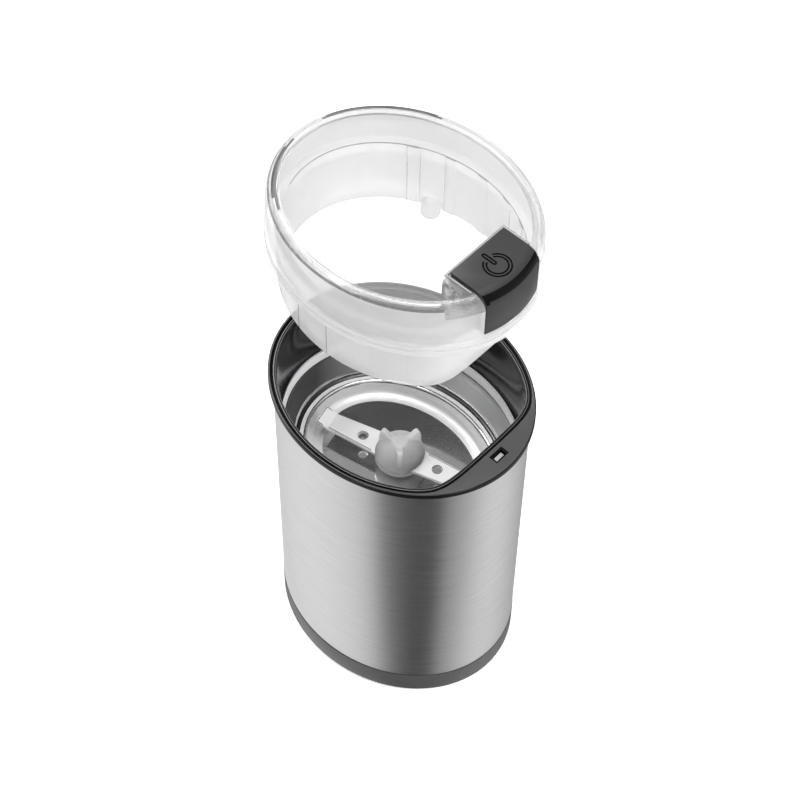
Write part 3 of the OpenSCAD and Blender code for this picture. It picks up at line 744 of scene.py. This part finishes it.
# ribs that brace the housing's near wall
bm = bmesh.new()
for x0, z0, z1 in ((BX - 0.6, 8.0, 18.2), (BX + 3.2, 7.6, 17.6), (BX + 7.4, 7.2, 16.6), (BX + 10.6, 6.9, 14.2)):
    add_box(bm, x0, x0 + 0.45, -BY - 2.3, -BY - 1.35, LIDZ + z0, LIDZ + z1)
ribs = new_object("housing_ribs", bm, 30)
bm = bmesh.new()
skin(bm, [oval_ring(d, LIDZ + z) for d, z in lid_dome(LT + 0.15, ER, 6.6)], closed=False, cap0=True, cap1=True)
boolean(ribs, tool(bm), "INTERSECT")

# raised rim of the bay, round three sides of the button
bm = bmesh.new()
rim_run = [(44.0, -BY - 0.15), (BX - 0.15, -BY - 0.15), (BX - 0.15, BY + 0.15), (44.0, BY + 0.15), (44.0, BY + 1.05), (BX - 1.05, BY + 1.05), (BX - 1.05, -BY - 1.05), (44.0, -BY - 1.05)]
prism(bm, rim_run, LIDZ + LH - 0.5, LIDZ + LH + 0.12)
bay_rim = new_object("bay_rim", bm, 30)
bm = bmesh.new()
skin(bm, [oval_ring(BD + ER - 0.3, LIDZ + LH - 1), oval_ring(BD + ER - 0.3, LIDZ + LH + 1)], closed=False, cap0=True, cap1=True)
boolean(bay_rim, tool(bm), "INTERSECT")
bevel(bay_rim, 0.2, 2, 40)
for key in ("rim_a", "rim_b"):
    bay_rim.data.materials.append(bpy.data.materials.new(key))
bay_rim.modifiers["bevel"].material = 1
apply_all(bay_rim, 30)
bay_index = [f.material_index for f in bay_rim.data.polygons]

# ---------------------------------------------------------------- button
BU = LIDZ + 1.2
HY = 11.8
bm = bmesh.new()
add_box(bm, 28.9, 60, -HY, HY, BU + 4.1, BU + LH + 2)
button = new_object("button_body", bm, 30)
bm = bmesh.new()
skin(bm, [oval_ring(d, BU + z) for d, z in lid_dome(0.08, ER, 3.0)], closed=False, cap0=True, cap1=True)
boolean(button, tool(bm), "INTERSECT")
bm = bmesh.new()
skin(bm, [oval_ring(BD + 1.45, BU + 3), oval_ring(BD + 1.45, BU + LH - 2.8)], closed=False, cap0=True, cap1=True)
hollow = tool(bm)
bm = bmesh.new()
add_box(bm, 30.3, 60, -HY + 1.4, HY - 1.4, BU + 2, BU + LH + 2)
boolean(hollow, tool(bm), "INTERSECT", 0)
boolean(button, hollow)
bm = bmesh.new()
add_box(bm, 20, 33.9, -20, 20, BU + 3, BU + 15)
boolean(button, tool(bm))
bevel(button, 0.42, 3, 40)
apply_all(button, 35)


def sign_strip(pts, w, z0, z1, closed=False):
    """A groove's cutter that follows pts at width w."""
    bm = bmesh.new()
    n = len(pts)
    rows = []
    for i in range(n):
        if closed:
            a, b = Vector(pts[i - 1]), Vector(pts[(i + 1) % n])
        else:
            a, b = Vector(pts[max(0, i - 1)]), Vector(pts[min(n - 1, i + 1)])
        t = (b - a).normalized()
        nn = Vector((-t.y, t.x)) * w / 2
        p = Vector(pts[i])
        rows.append([bm.verts.new((*(p + nn), z0)), bm.verts.new((*(p - nn), z0)), bm.verts.new((*(p - nn), z1)), bm.verts.new((*(p + nn), z1))])
    for i in range(n if closed else n - 1):
        a, b = rows[i], rows[(i + 1) % n]
        for k in range(4):
            j = (k + 1) % 4
            bm.faces.new((a[k], a[j], b[j], b[k]))
    if not closed:
        bm.faces.new(rows[0]); bm.faces.new(list(reversed(rows[-1])))
    return tool(bm)


# the power sign as an outline groove: an open ring and a bar
cx, cy, R0, R1 = 37.0, -0.3, 3.25, 4.25
TOPZ = BU + LH - 0.08
gap = math.radians(26)
for R in (R1, R0):
    run = []
    for k in range(41):
        t = math.pi + gap + (2 * math.pi - 2 * gap) * k / 40
        run.append((cx + R * math.cos(t), cy + R * math.sin(t)))
    boolean(button, sign_strip(run, 0.56, TOPZ - 0.3, TOPZ + 1))
bar = []
for k in range(9):
    t = -math.pi / 2 + math.pi * k / 8
    bar.append((cx - 1.2 + 0.5 * math.cos(t), cy + 0.5 * math.sin(t)))
for k in range(9):
    t = math.pi / 2 + math.pi * k / 8
    bar.append((cx - 5.3 + 0.5 * math.cos(t), cy + 0.5 * math.sin(t)))
boolean(button, sign_strip(bar, 0.56, TOPZ - 0.3, TOPZ + 1, closed=True), angle=35)

# ---------------------------------------------------------------- materials
M = {}
# brushed round the body: long streaks along the oval, so the grain is fine only along Z
m = Mat("brushed_sleeve")
v = m.mapped((2.2, 2.2, 46.0))
f = m.noise(32, v, detail=8, rough=0.8)
m.link(m.ramp(f, (0.62, 0.62, 0.625), (0.82, 0.82, 0.825), 0.3, 0.7), "Base Color")
m.link(m.span(f, 0.26, 0.38, 0.3, 0.7), "Roughness")
m.bump(f, 0.2, 0.00004)
m.set(Metallic=1.0, Anisotropic=0.75, Anisotropic_Rotation=0.25)
tan = m.t.nodes.new("ShaderNodeTangent")
tan.direction_type = "RADIAL"
tan.axis = "Z"
m.t.links.new(tan.outputs["Tangent"], m.b.inputs["Tangent"])
M["sleeve"] = m.m
M["cup"] = metal("polished_cup", (0.84, 0.84, 0.845), 0.06, stretch=(1, 1, 3), scale=260, strength=0.0005, vary=0.02, depth=0.000002, spread=0.1, full=0.9)
# painted highlight: satin steel with a large diffuse white share, so the band reads white
M["satin"] = metal("cup_satin_painted_highlight", (0.95, 0.95, 0.955), 0.42, stretch=(1, 1, 6), scale=300, strength=0.002, vary=0.03, depth=0.000005, spread=0.1, full=0.3)

# painted reflection: the slope under the collar is painted light at the switch side, dark at the far end
m = Mat("cup_slope_painted_reflection")
dot = m.t.nodes.new("ShaderNodeVectorMath")
dot.operation = "DOT_PRODUCT"
dot.inputs[1].default_value = (0.7447, 0.6674, 0.0)
m.t.links.new(m.c.outputs["Object"], dot.inputs[0])
tone = m.t.nodes.new("ShaderNodeValToRGB")
m.t.links.new(m.span(dot.outputs["Value"], 0.0, 1.0, -0.04, 0.04), tone.inputs["Fac"])
el = tone.color_ramp.elements
el[0].color = (0.1, 0.1, 0.1, 1)
el[1].color = (0.6, 0.6, 0.605, 1)
for u, c in ((-0.03, 0.12), (-0.022, 0.36), (-0.012, 0.56), (0.0, 0.52), (0.012, 0.64), (0.024, 0.84)):
    el.new((u + 0.04) / 0.08).color = (c, c, c, 1)
m.link(tone.outputs["Color"], "Base Color")
m.link(m.span(m.noise(300, m.mapped((1, 1, 6))), 0.32, 0.38), "Roughness")
m.bump(m.noise(900), 0.02, 0.000005)
m.set(Metallic=0.75)
M["slope"] = m.m
# painted reflection: dark lines standing in for the black rim mirrored in the cup
M["cut"] = metal("cup_painted_reflection_line", (0.1, 0.1, 0.102), 0.2, scale=300, strength=0.001, vary=0.1, depth=0.000003, spread=0.1)
# painted highlight: the bowl's wall band is painted near white
M["bowl"] = metal("cup_bowl_painted_highlight", (0.93, 0.93, 0.935), 0.34, stretch=(1, 1, 6), scale=300, strength=0.001, vary=0.03, depth=0.000003, spread=0.08, full=0.45)
M["blade"] = metal("blade_steel", (1.0, 1.0, 1.0), 0.3, stretch=(4, 1, 1), scale=500, strength=0.01, vary=0.02, depth=0.00001, spread=0.1, full=0.2)
# painted shade: near-black lines along the blade's edges
M["worn"] = metal("blade_edge_painted_shade", (0.035, 0.035, 0.036), 0.4, scale=900, strength=0.04, vary=0.2, depth=0.00001, full=0.3)
M["under"] = metal("blade_underside", (0.6, 0.6, 0.605), 0.16, stretch=(4, 1, 1), scale=500, strength=0.01, vary=0.03, depth=0.00001, spread=0.1)
# painted highlight along the crest of the rim's inner lip
M["lip"] = plastic("rim_crest_painted_highlight", (0.085, 0.085, 0.087), 0.4, grain=1500, strength=0.2, vary=0.06)
M["base"] = plastic("base_plastic", (0.05, 0.05, 0.052), 0.36, grain=1500, strength=0.3)
M["bridge"] = plastic("bridge_satin", (0.058, 0.058, 0.06), 0.5, grain=1500, strength=0.3, vary=0.06)
M["rim"] = plastic("rim_gloss", (0.006, 0.006, 0.0065), 0.1, grain=300, depth=0.00002, strength=0.04, vary=0.2, spec=0.22)
M["matte"] = plastic("inner_black", (0.02, 0.02, 0.02), 0.5)
M["rubber"] = plastic("rubber_black", (0.018, 0.018, 0.018), 0.75, grain=2200, strength=0.5)
M["zinc"] = metal("zinc_plate", (0.62, 0.62, 0.6), 0.3, scale=1200)
M["cream"] = plastic("cream_plastic", (0.55, 0.52, 0.44), 0.45)
M["alu"] = metal("cast_alloy", (0.62, 0.62, 0.64), 0.45, scale=1500, strength=0.4, depth=0.00005)
M["lam"] = metal("lamination_stack", (0.28, 0.28, 0.3), 0.45, stretch=(0.05, 0.05, 6), scale=300, strength=0.5, depth=0.00008, vary=0.25)
M["copper"] = metal("enamel_copper", (0.55, 0.22, 0.08), 0.28, stretch=(0.2, 0.2, 5), scale=380, strength=0.6, depth=0.0001, vary=0.2)
M["bronze"] = metal("bronze", (0.5, 0.34, 0.16), 0.4, scale=1500, strength=0.3)
M["carbon"] = plastic("carbon_black", (0.03, 0.03, 0.032), 0.55, grain=2500)
M["wire"] = plastic("wire_red", (0.3, 0.02, 0.02), 0.35)
M["plunger"] = plastic("plunger_grey", (0.5, 0.5, 0.505), 0.35)
m = Mat("milky_hub")
big = m.noise(120, detail=3)
m.link(m.ramp(big, (0.6, 0.6, 0.6), (0.68, 0.68, 0.675)), "Base Color")
m.link(m.span(big, 0.28, 0.42), "Roughness")
m.bump(m.noise(700), 0.08, 0.00003)
m.set(Subsurface_Weight=1.0, Subsurface_Scale=0.02, IOR=1.45, Specular_IOR_Level=0.35)
m.b.inputs["Subsurface Radius"].default_value = (1.0, 1.0, 1.0)
M["hub"] = m.m


def clear(name, veil, colour, gloss=0.5, glass=0.0, ior=1.49, spread=0.06, scale=40, tint=1.0, front=None):
    """Clear plastic skin: see-through, with a white veil, a gloss and a share of true glass."""
    m = Mat(name)
    t = m.t
    t.nodes.remove(m.b)
    big = m.noise(scale, detail=3)

    def node(kind, **kw):
        n = t.nodes.new(kind)
        for k, v in kw.items():
            n.inputs[k].default_value = v
        return n

    def mix(fac, a, b):
        n = t.nodes.new("ShaderNodeMixShader")
        if isinstance(fac, float):
            n.inputs["Fac"].default_value = fac
        else:
            t.links.new(fac, n.inputs["Fac"])
        t.links.new(a, n.inputs[1])
        t.links.new(b, n.inputs[2])
        return n.outputs[0]

    c = (colour, colour, colour, 1)
    d, s = node("ShaderNodeBsdfDiffuse", Color=c), node("ShaderNodeBsdfTranslucent", Color=c)
    if front is not None:
        # painted shade: the wall is painted a little greyer towards the front
        xyz = t.nodes.new("ShaderNodeSeparateXYZ")
        t.links.new(m.c.outputs["Object"], xyz.inputs[0])
        shade = m.ramp(m.span(xyz.outputs["Y"], 0.0, 1.0, -0.036, 0.012), (front,) * 3, (colour,) * 3, 0.0, 1.0)
        t.links.new(shade, d.inputs["Color"])
        t.links.new(shade, s.inputs["Color"])
    white = mix(0.5, d.outputs[0], s.outputs[0])
    through = node("ShaderNodeBsdfTransparent", Color=(tint, tint, tint, 1)).outputs[0]
    if glass:
        g = node("ShaderNodeBsdfGlass", IOR=ior)
        t.links.new(m.span(big, 0.0, 0.05), g.inputs["Roughness"])
        through = mix(glass, through, g.outputs[0])
    body = mix(m.span(big, veil - spread / 2, veil + spread / 2), through, white)
    shine = node("ShaderNodeBsdfGlossy")
    t.links.new(m.span(big, 0.04, 0.12), shine.inputs["Roughness"])
    fres = node("ShaderNodeFresnel", IOR=1.35)
    dim = t.nodes.new("ShaderNodeMath")
    dim.operation = "MULTIPLY"
    dim.inputs[1].default_value = gloss
    t.links.new(fres.outputs[0], dim.inputs[0])
    t.links.new(mix(dim.outputs[0], body, shine.outputs[0]), t.nodes["Material Output"].inputs["Surface"])
    return m.m


M["clear"] = clear("clear_top", 0.22, 0.6, tint=0.985)
M["edge"] = clear("clear_edge", 0.34, 0.62, glass=0.6)
# painted shade: the walls are painted darker towards the front
M["wall"] = clear("clear_wall", 0.6, 0.86, gloss=0.35, front=0.68)
# painted shade: dark and grey veils for the clear plastic's edges and lines
M["line"] = clear("clear_line_painted_shade", 0.9, 0.12, gloss=0.6)
# painted shade: dark crescents and specks for the lid's rounded top edge
M["bend"] = clear("clear_bend_painted_shade", 0.9, 0.11, gloss=0.8, glass=0.3, spread=0.16, scale=60)
M["speck"] = clear("clear_speck_painted_shade", 0.78, 0.16, gloss=0.6, glass=0.3, spread=0.3, scale=900)
M["haze"] = clear("clear_haze_painted_shade", 0.5, 0.42, glass=0.3, spread=0.4, scale=90)
M["soft"] = clear("clear_soft_painted_shade", 0.5, 0.3, gloss=0.3)
M["frame"] = clear("clear_frame", 0.8, 0.72, gloss=0.4)
M["pocket"] = clear("clear_pocket", 0.16, 0.75, glass=0.3)
# painted shade: a dark streaky veil over partly real glass for the housing's near wall
M["facet"] = clear("clear_facet_painted_shade", 0.42, 0.1, gloss=1.0, glass=0.8, spread=2.6, scale=600)
M["button"] = plastic("button_black", (0.018, 0.018, 0.0185), 0.5, grain=1200, strength=0.12, vary=0.06)
M["shiny"] = plastic("button_edge_painted_shade", (0.002, 0.002, 0.002), 0.12, grain=600, strength=0.03, vary=0.1, spec=0.15)

piece(sleeve, "body", "sleeve_steel", M["sleeve"], "outer_shell")
piece(base, "body", "base_plastic", M["base"], "base_ring")
piece(rim, "body", "black_gloss", M["rim"], "top_rim")
rim.data.materials.append(M["bridge"])
rim.data.materials.append(M["lip"])
for f in rim.data.polygons:
    z = f.center.z / MM - RIM
    if f.normal.z > 0.98 and z > -0.04:
        f.material_index = 1
    # painted highlight: the inner lip's rounded crest is painted a lighter grey
    elif -0.27 < z < -0.21 and 0.5 < f.normal.z < 0.99:
        f.material_index = 2
piece(collar, "body", "black_gloss", M["rim"])
piece(plunger, "plunger", "plunger_plastic", M["plunger"], "switch_plunger")
# painted shade: the chamfer faces take the black gloss, standing in for the dark gap round the plunger's top
plunger.data.materials.append(M["rim"])
for f, k in zip(plunger.data.polygons, plunger_index):
    f.material_index = k
piece(cup, "body", "cup_steel", M["cup"], "grinding_cup")
# turned bands: satin steel made near white as painted highlight on the upright collar, the ledge's inner half and the
# bowl's wall, a slope with painted reflection shading, dark lines between them as painted reflections of the black rim,
# and the rest polished
for key in ("satin", "slope", "cut", "bowl"):
    cup.data.materials.append(M[key])
cup_run = smooth_run(CUP_IN)
for f in cup.data.polygons:
    k = f.index // SEG
    if k >= len(cup_run) - 1:
        continue
    d, q = (cup_run[k][0] + cup_run[k + 1][0]) / 2, (cup_run[k][1] + cup_run[k + 1][1]) / 2
    if 27.6 < q < 31.1 or 9.5 < d < 10.85:
        f.material_index = 1
    elif 31.1 < q < 31.8 or 8.1 < d < 9.5 or 10.85 < d < 11.2:
        f.material_index = 3
    elif 31.8 < q < 40.3:
        f.material_index = 2
    elif 42.6 < q < 46.17:
        f.material_index = 4
piece(blade, "rotor", "blade_steel", M["blade"], "blade")
blade.data.materials.append(M["worn"])
blade.data.materials.append(M["under"])
for f in blade.data.polygons:
    f.material_index = 2 if f.normal.z < -0.6 else 0
piece(edge_lines, "rotor", "blade_steel", M["worn"])
piece(hub, "rotor", "hub_plastic", M["hub"], "blade_hub")
piece(lid, "lid", "clear_plastic", M["clear"], "lid_shell", "lid_skirt")
EDGE, WALL, LINE, BEND, HAZE, SOFT, SPECK = 1, 2, 3, 4, 5, 6, 7
for key in ("edge", "wall", "line", "bend", "haze", "soft", "speck"):
    lid.data.materials.append(M[key])
for f in lid.data.polygons:
    x, y, z = f.center.x / MM, f.center.y / MM, f.center.z / MM - LIDZ
    e = math.hypot(x / A, y / B)
    nz = f.normal.z
    flat = abs(nz) > 0.985
    co = [lid.data.vertices[i].co / MM for i in f.vertices]
    wide = math.hypot(max(c.x for c in co) - min(c.x for c in co), max(c.y for c in co) - min(c.y for c in co))
    tall = max(c.z for c in co) - min(c.z for c in co)
    turn = math.degrees(math.atan2(y / B, x / A)) % 360
    outside = f.normal.x * x + f.normal.y * y > 0
    if z > LH - ER + 0.1 and not flat:
        # painted shade and painted refraction: dark crescents and specks are painted on the rounded top edge, where it
        # looks away from the light cards
        k = EDGE
        if outside and 110 < turn < 168 and 0.97 - 0.5 * (1 - ((turn - 139) / 29) ** 2) < nz < 0.97:
            k = BEND
        elif outside and 186 < turn < 234 and 0.97 - 0.16 * (1 - ((turn - 210) / 24) ** 2) < nz < 0.97:
            k = BEND
        elif not outside and 110 < turn < 168 and -0.98 < nz < -0.98 + 0.5 * (1 - ((turn - 139) / 29) ** 2):
            k = BEND
        elif not outside and 190 < turn < 240 and -0.98 < nz < -0.98 + 0.4 * (1 - ((turn - 215) / 25) ** 2):
            k = HAZE
        elif outside and 190 < turn < 324 and 0.55 < nz < 0.7:
            k = SPECK
        elif outside and 0.7 < nz < 0.8:
            k = HAZE
        elif outside and 190 < turn < 324 and nz < 0.55:
            k = WALL
        f.material_index = k
    elif z > LH - LT - 0.2 and flat:
        f.material_index = 0
    else:
        k = WALL
        # painted shade: narrow faces on the ribs' sides, the peg's foot, the skirt's bottom edge and the flange lines
        # take dark or grey veils
        if tall > 4 and wide < 0.45 and e < 0.93 and z < 6.3:
            if y > 0:
                k = SOFT
            elif outside and any(abs(x - (rx - hw)) < 0.3 for rx, hw in RIBS):
                k = LINE if x < 8 else SOFT
        elif z < -SK + 0.6 and math.hypot(x + 14.4, y - 28.6) < 3.5 and abs(nz) < 0.9 and not flat:
            k = LINE
        elif outside and -SK + 0.15 < z < -SK + 0.45:
            k = LINE if x > 0 else SOFT
        elif z < -SK + 0.3:
            k = SOFT
        elif 2.4 < z < 2.75 and e > 0.93:
            k = SOFT if y < 10 else WALL
        elif 6.25 < z < 6.5 and not flat and y > -10:
            k = LINE
        f.material_index = k
piece(housing, "lid", "clear_plastic", M["pocket"], "lid_button_housing")
housing.data.materials.append(M["line"])
housing.data.materials.append(M["facet"])
# painted shade: the near wall's faces take the dark streaky veil, the bevels dark lines
for f in housing.data.polygons:
    if f.center.y / MM < -BY - 0.1 and f.area > 3e-6:
        f.material_index = 2
    if max(abs(c) for c in f.normal) < 0.93:
        f.material_index = 1
# painted shade: the ribs are painted as dark lines
piece(ribs, "lid", "clear_plastic", M["line"])
piece(spring_low, "lid", "zinc_steel", M["zinc"], "button_spring")
piece(spring_top, "button", "zinc_steel", M["zinc"])
piece(bay_rim, "lid", "clear_plastic", M["frame"])
# painted shade: the rim's bevels are dark lines
bay_rim.data.materials.append(M["line"])
for f, k in zip(bay_rim.data.polygons, bay_index):
    f.material_index = k
piece(button, "button", "button_plastic", M["button"], "power_button")
button.data.materials.append(M["shiny"])
# painted shade: faces that are neither top nor sides (the rounded edges and bevels) take a blacker, glossier copy of
# the button's plastic
for f in button.data.polygons:
    x, z = f.center.x / MM, f.center.z / MM - BU
    level = f.normal.z > 0.88 and z > LH - 0.7 and not (f.normal.z > 0.985 and z < LH - 0.25)
    side = z < LH - ER + 2.2 and max(abs(f.normal.x), abs(f.normal.y)) > 0.9
    if not level and not side:
        f.material_index = 1
for node, key in (("bottom_cover", "matte"), ("rubber_feet", "rubber"), ("cover_screws", "zinc"), ("cord_grommet", "rubber"),
                  ("terminal_block", "cream"), ("cup_seal", "rubber"), ("shaft_seal", "rubber"), ("inner_chassis", "matte"),
                  ("motor_mounts", "rubber"), ("motor_top_bracket", "alu"), ("motor_bottom_bracket", "alu"), ("motor_bolts", "zinc"),
                  ("stator_core", "lam"), ("field_coils", "copper"), ("upper_bearing", "bronze"), ("lower_bearing", "bronze"),
                  ("brush_holders", "bronze"), ("carbon_brushes", "carbon"), ("thermal_cutout", "cream"), ("micro_switch", "matte"),
                  ("switch_leads", "wire"), ("drive_shaft", "blade"), ("armature_core", "lam"),
                  ("armature_windings", "copper"), ("commutator", "copper"), ("cooling_fan", "matte"), ("button_push_rod", "plunger")):
    carry(node, M[key])

# ---------------------------------------------------------------- stage
bm = bmesh.new()
for x, y in ((-3, -3), (3, -3), (3, 3), (-3, 3)):
    bm.verts.new((x * 1000, y * 1000, 0))
bm.faces.new(bm.verts)
floor = new_object("floor", bm, 0)
fm = Mat("floor_white")
fm.set(Roughness=0.9)
fm.link(fm.ramp(fm.noise(3), (0.93, 0.93, 0.93), (0.95, 0.95, 0.95)), "Base Color")
fm.b.inputs["Specular IOR Level"].default_value = 0.0
fm.b.inputs["Emission Color"].default_value = (1, 1, 1, 1)
fm.b.inputs["Emission Strength"].default_value = 0.3
paint(floor, fm.m)
floor.location.z = -0.0002
floor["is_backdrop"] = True
floor.visible_glossy = False


def area(name, loc, aim, size, power, size_y=None):
    d = bpy.data.lights.new(name, "AREA")
    d.energy = power
    d.size = size
    if size_y:
        d.shape = "RECTANGLE"
        d.size_y = size_y
    ob = bpy.data.objects.new(name, d)
    ob.location = loc
    ob.rotation_euler = (Vector(aim) - Vector(loc)).to_track_quat("-Z", "Y").to_euler()
    bpy.context.scene.collection.objects.link(ob)
    return ob


area("key", (-1.1, 0.2, 1.2), (0, 0, 0.1), 0.8, 16)
area("fill", (1.1, 0.6, 0.9), (0, 0, 0.1), 0.8, 14)
area("top", (0.0, 0.0, 2.0), (0, 0, 0), 0.9, 18)
area("front", (0.9, -1.0, 0.9), (0, 0, 0.12), 0.9, 9)
for ob in bpy.context.scene.objects:
    if ob.type == "LIGHT" and ob.name in ("front", "fill"):
        ob.visible_glossy = False

w = bpy.data.worlds.new("studio")
bpy.context.scene.world = w
w.use_nodes = True
wt = w.node_tree
bg = wt.nodes["Background"]
tc = wt.nodes.new("ShaderNodeTexCoord")
sp = wt.nodes.new("ShaderNodeSeparateXYZ")
wt.links.new(tc.outputs["Generated"], sp.inputs[0])


def wmath(op, a, b=None):
    n = wt.nodes.new("ShaderNodeMath")
    n.operation = op
    for k, v in enumerate((a, b)):
        if v is None:
            continue
        if isinstance(v, (int, float)):
            n.inputs[k].default_value = v
        else:
            wt.links.new(v, n.inputs[k])
    return n.outputs[0]


# studio walls: bright cards with a dark gap near the plan angle of 42 degrees
MID = math.radians(42)
cs, sn = math.sin(MID), -math.cos(MID)
along = wmath("ADD", wmath("MULTIPLY", sp.outputs["X"], cs), wmath("MULTIPLY", sp.outputs["Y"], sn))
across = wmath("ADD", wmath("MULTIPLY", sp.outputs["X"], -sn), wmath("MULTIPLY", sp.outputs["Y"], cs))
azim = wmath("ADD", wmath("DIVIDE", wmath("ARCTAN2", across, along), 2 * math.pi), 0.5)


def card_ramp(stops):
    ramp = wt.nodes.new("ShaderNodeValToRGB")
    wt.links.new(azim, ramp.inputs["Fac"])
    el = ramp.color_ramp.elements
    el[0].position, el[0].color = 0.0, (*[stops[0][1]] * 3, 1)
    el[-1].position, el[-1].color = 1.0, (*[stops[-1][1]] * 3, 1)
    for a, v in stops[1:-1]:
        el.new((a + 180) / 360).color = (v, v, v, 1)
    return ramp.outputs["Color"]


low = card_ramp([(-180, 0.5), (-150, 0.42), (-125, 0.85), (-96, 1.0), (-75, 0.96), (-57, 0.86), (-46, 0.76), (-38, 0.6), (-33, 0.26), (-22, 0.14),
                 (-13, 0.1), (-4, 0.07), (15, 0.07), (19, 0.14), (25, 0.32), (36, 0.42), (48, 0.56), (61, 0.78), (76, 0.88), (92, 0.86), (113, 0.66),
                 (144, 0.36), (180, 0.5)])
high = card_ramp([(-180, 0.3), (-178.4, 0.2), (-177.4, 0.06), (-165, 0.04), (-140, 0.3), (-120, 0.8), (-90, 0.9), (-60, 0.5), (-40, 0.4), (-15, 0.55), (15, 0.55),
                  (40, 0.4), (60, 0.7), (80, 0.8), (105, 0.3), (140, 0.3), (165, 0.3), (176, 0.3), (180, 0.3)])
rise = wt.nodes.new("ShaderNodeMapRange")
rise.inputs["From Min"].default_value = -0.02
rise.inputs["From Max"].default_value = 0.12
rise.inputs["To Min"].default_value = 0.0
rise.inputs["To Max"].default_value = 1.0
wt.links.new(sp.outputs["Z"], rise.inputs["Value"])
mul = wt.nodes.new("ShaderNodeMix")
mul.data_type = "RGBA"
wt.links.new(rise.outputs["Result"], mul.inputs[0])
wt.links.new(low, mul.inputs[6])
wt.links.new(high, mul.inputs[7])
# straight behind the object the studio is one plain pale tone
path = wt.nodes.new("ShaderNodeLightPath")
plain = wt.nodes.new("ShaderNodeMix")
plain.data_type = "RGBA"
plain.inputs[7].default_value = (0.68, 0.68, 0.68, 1)
wt.links.new(path.outputs["Is Camera Ray"], plain.inputs[0])
wt.links.new(mul.outputs[2], plain.inputs[6])
wt.links.new(plain.outputs[2], bg.inputs["Color"])
bg.inputs["Strength"].default_value = 1.0
bpy.context.scene.view_settings.view_transform = "Standard"

lo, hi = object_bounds()
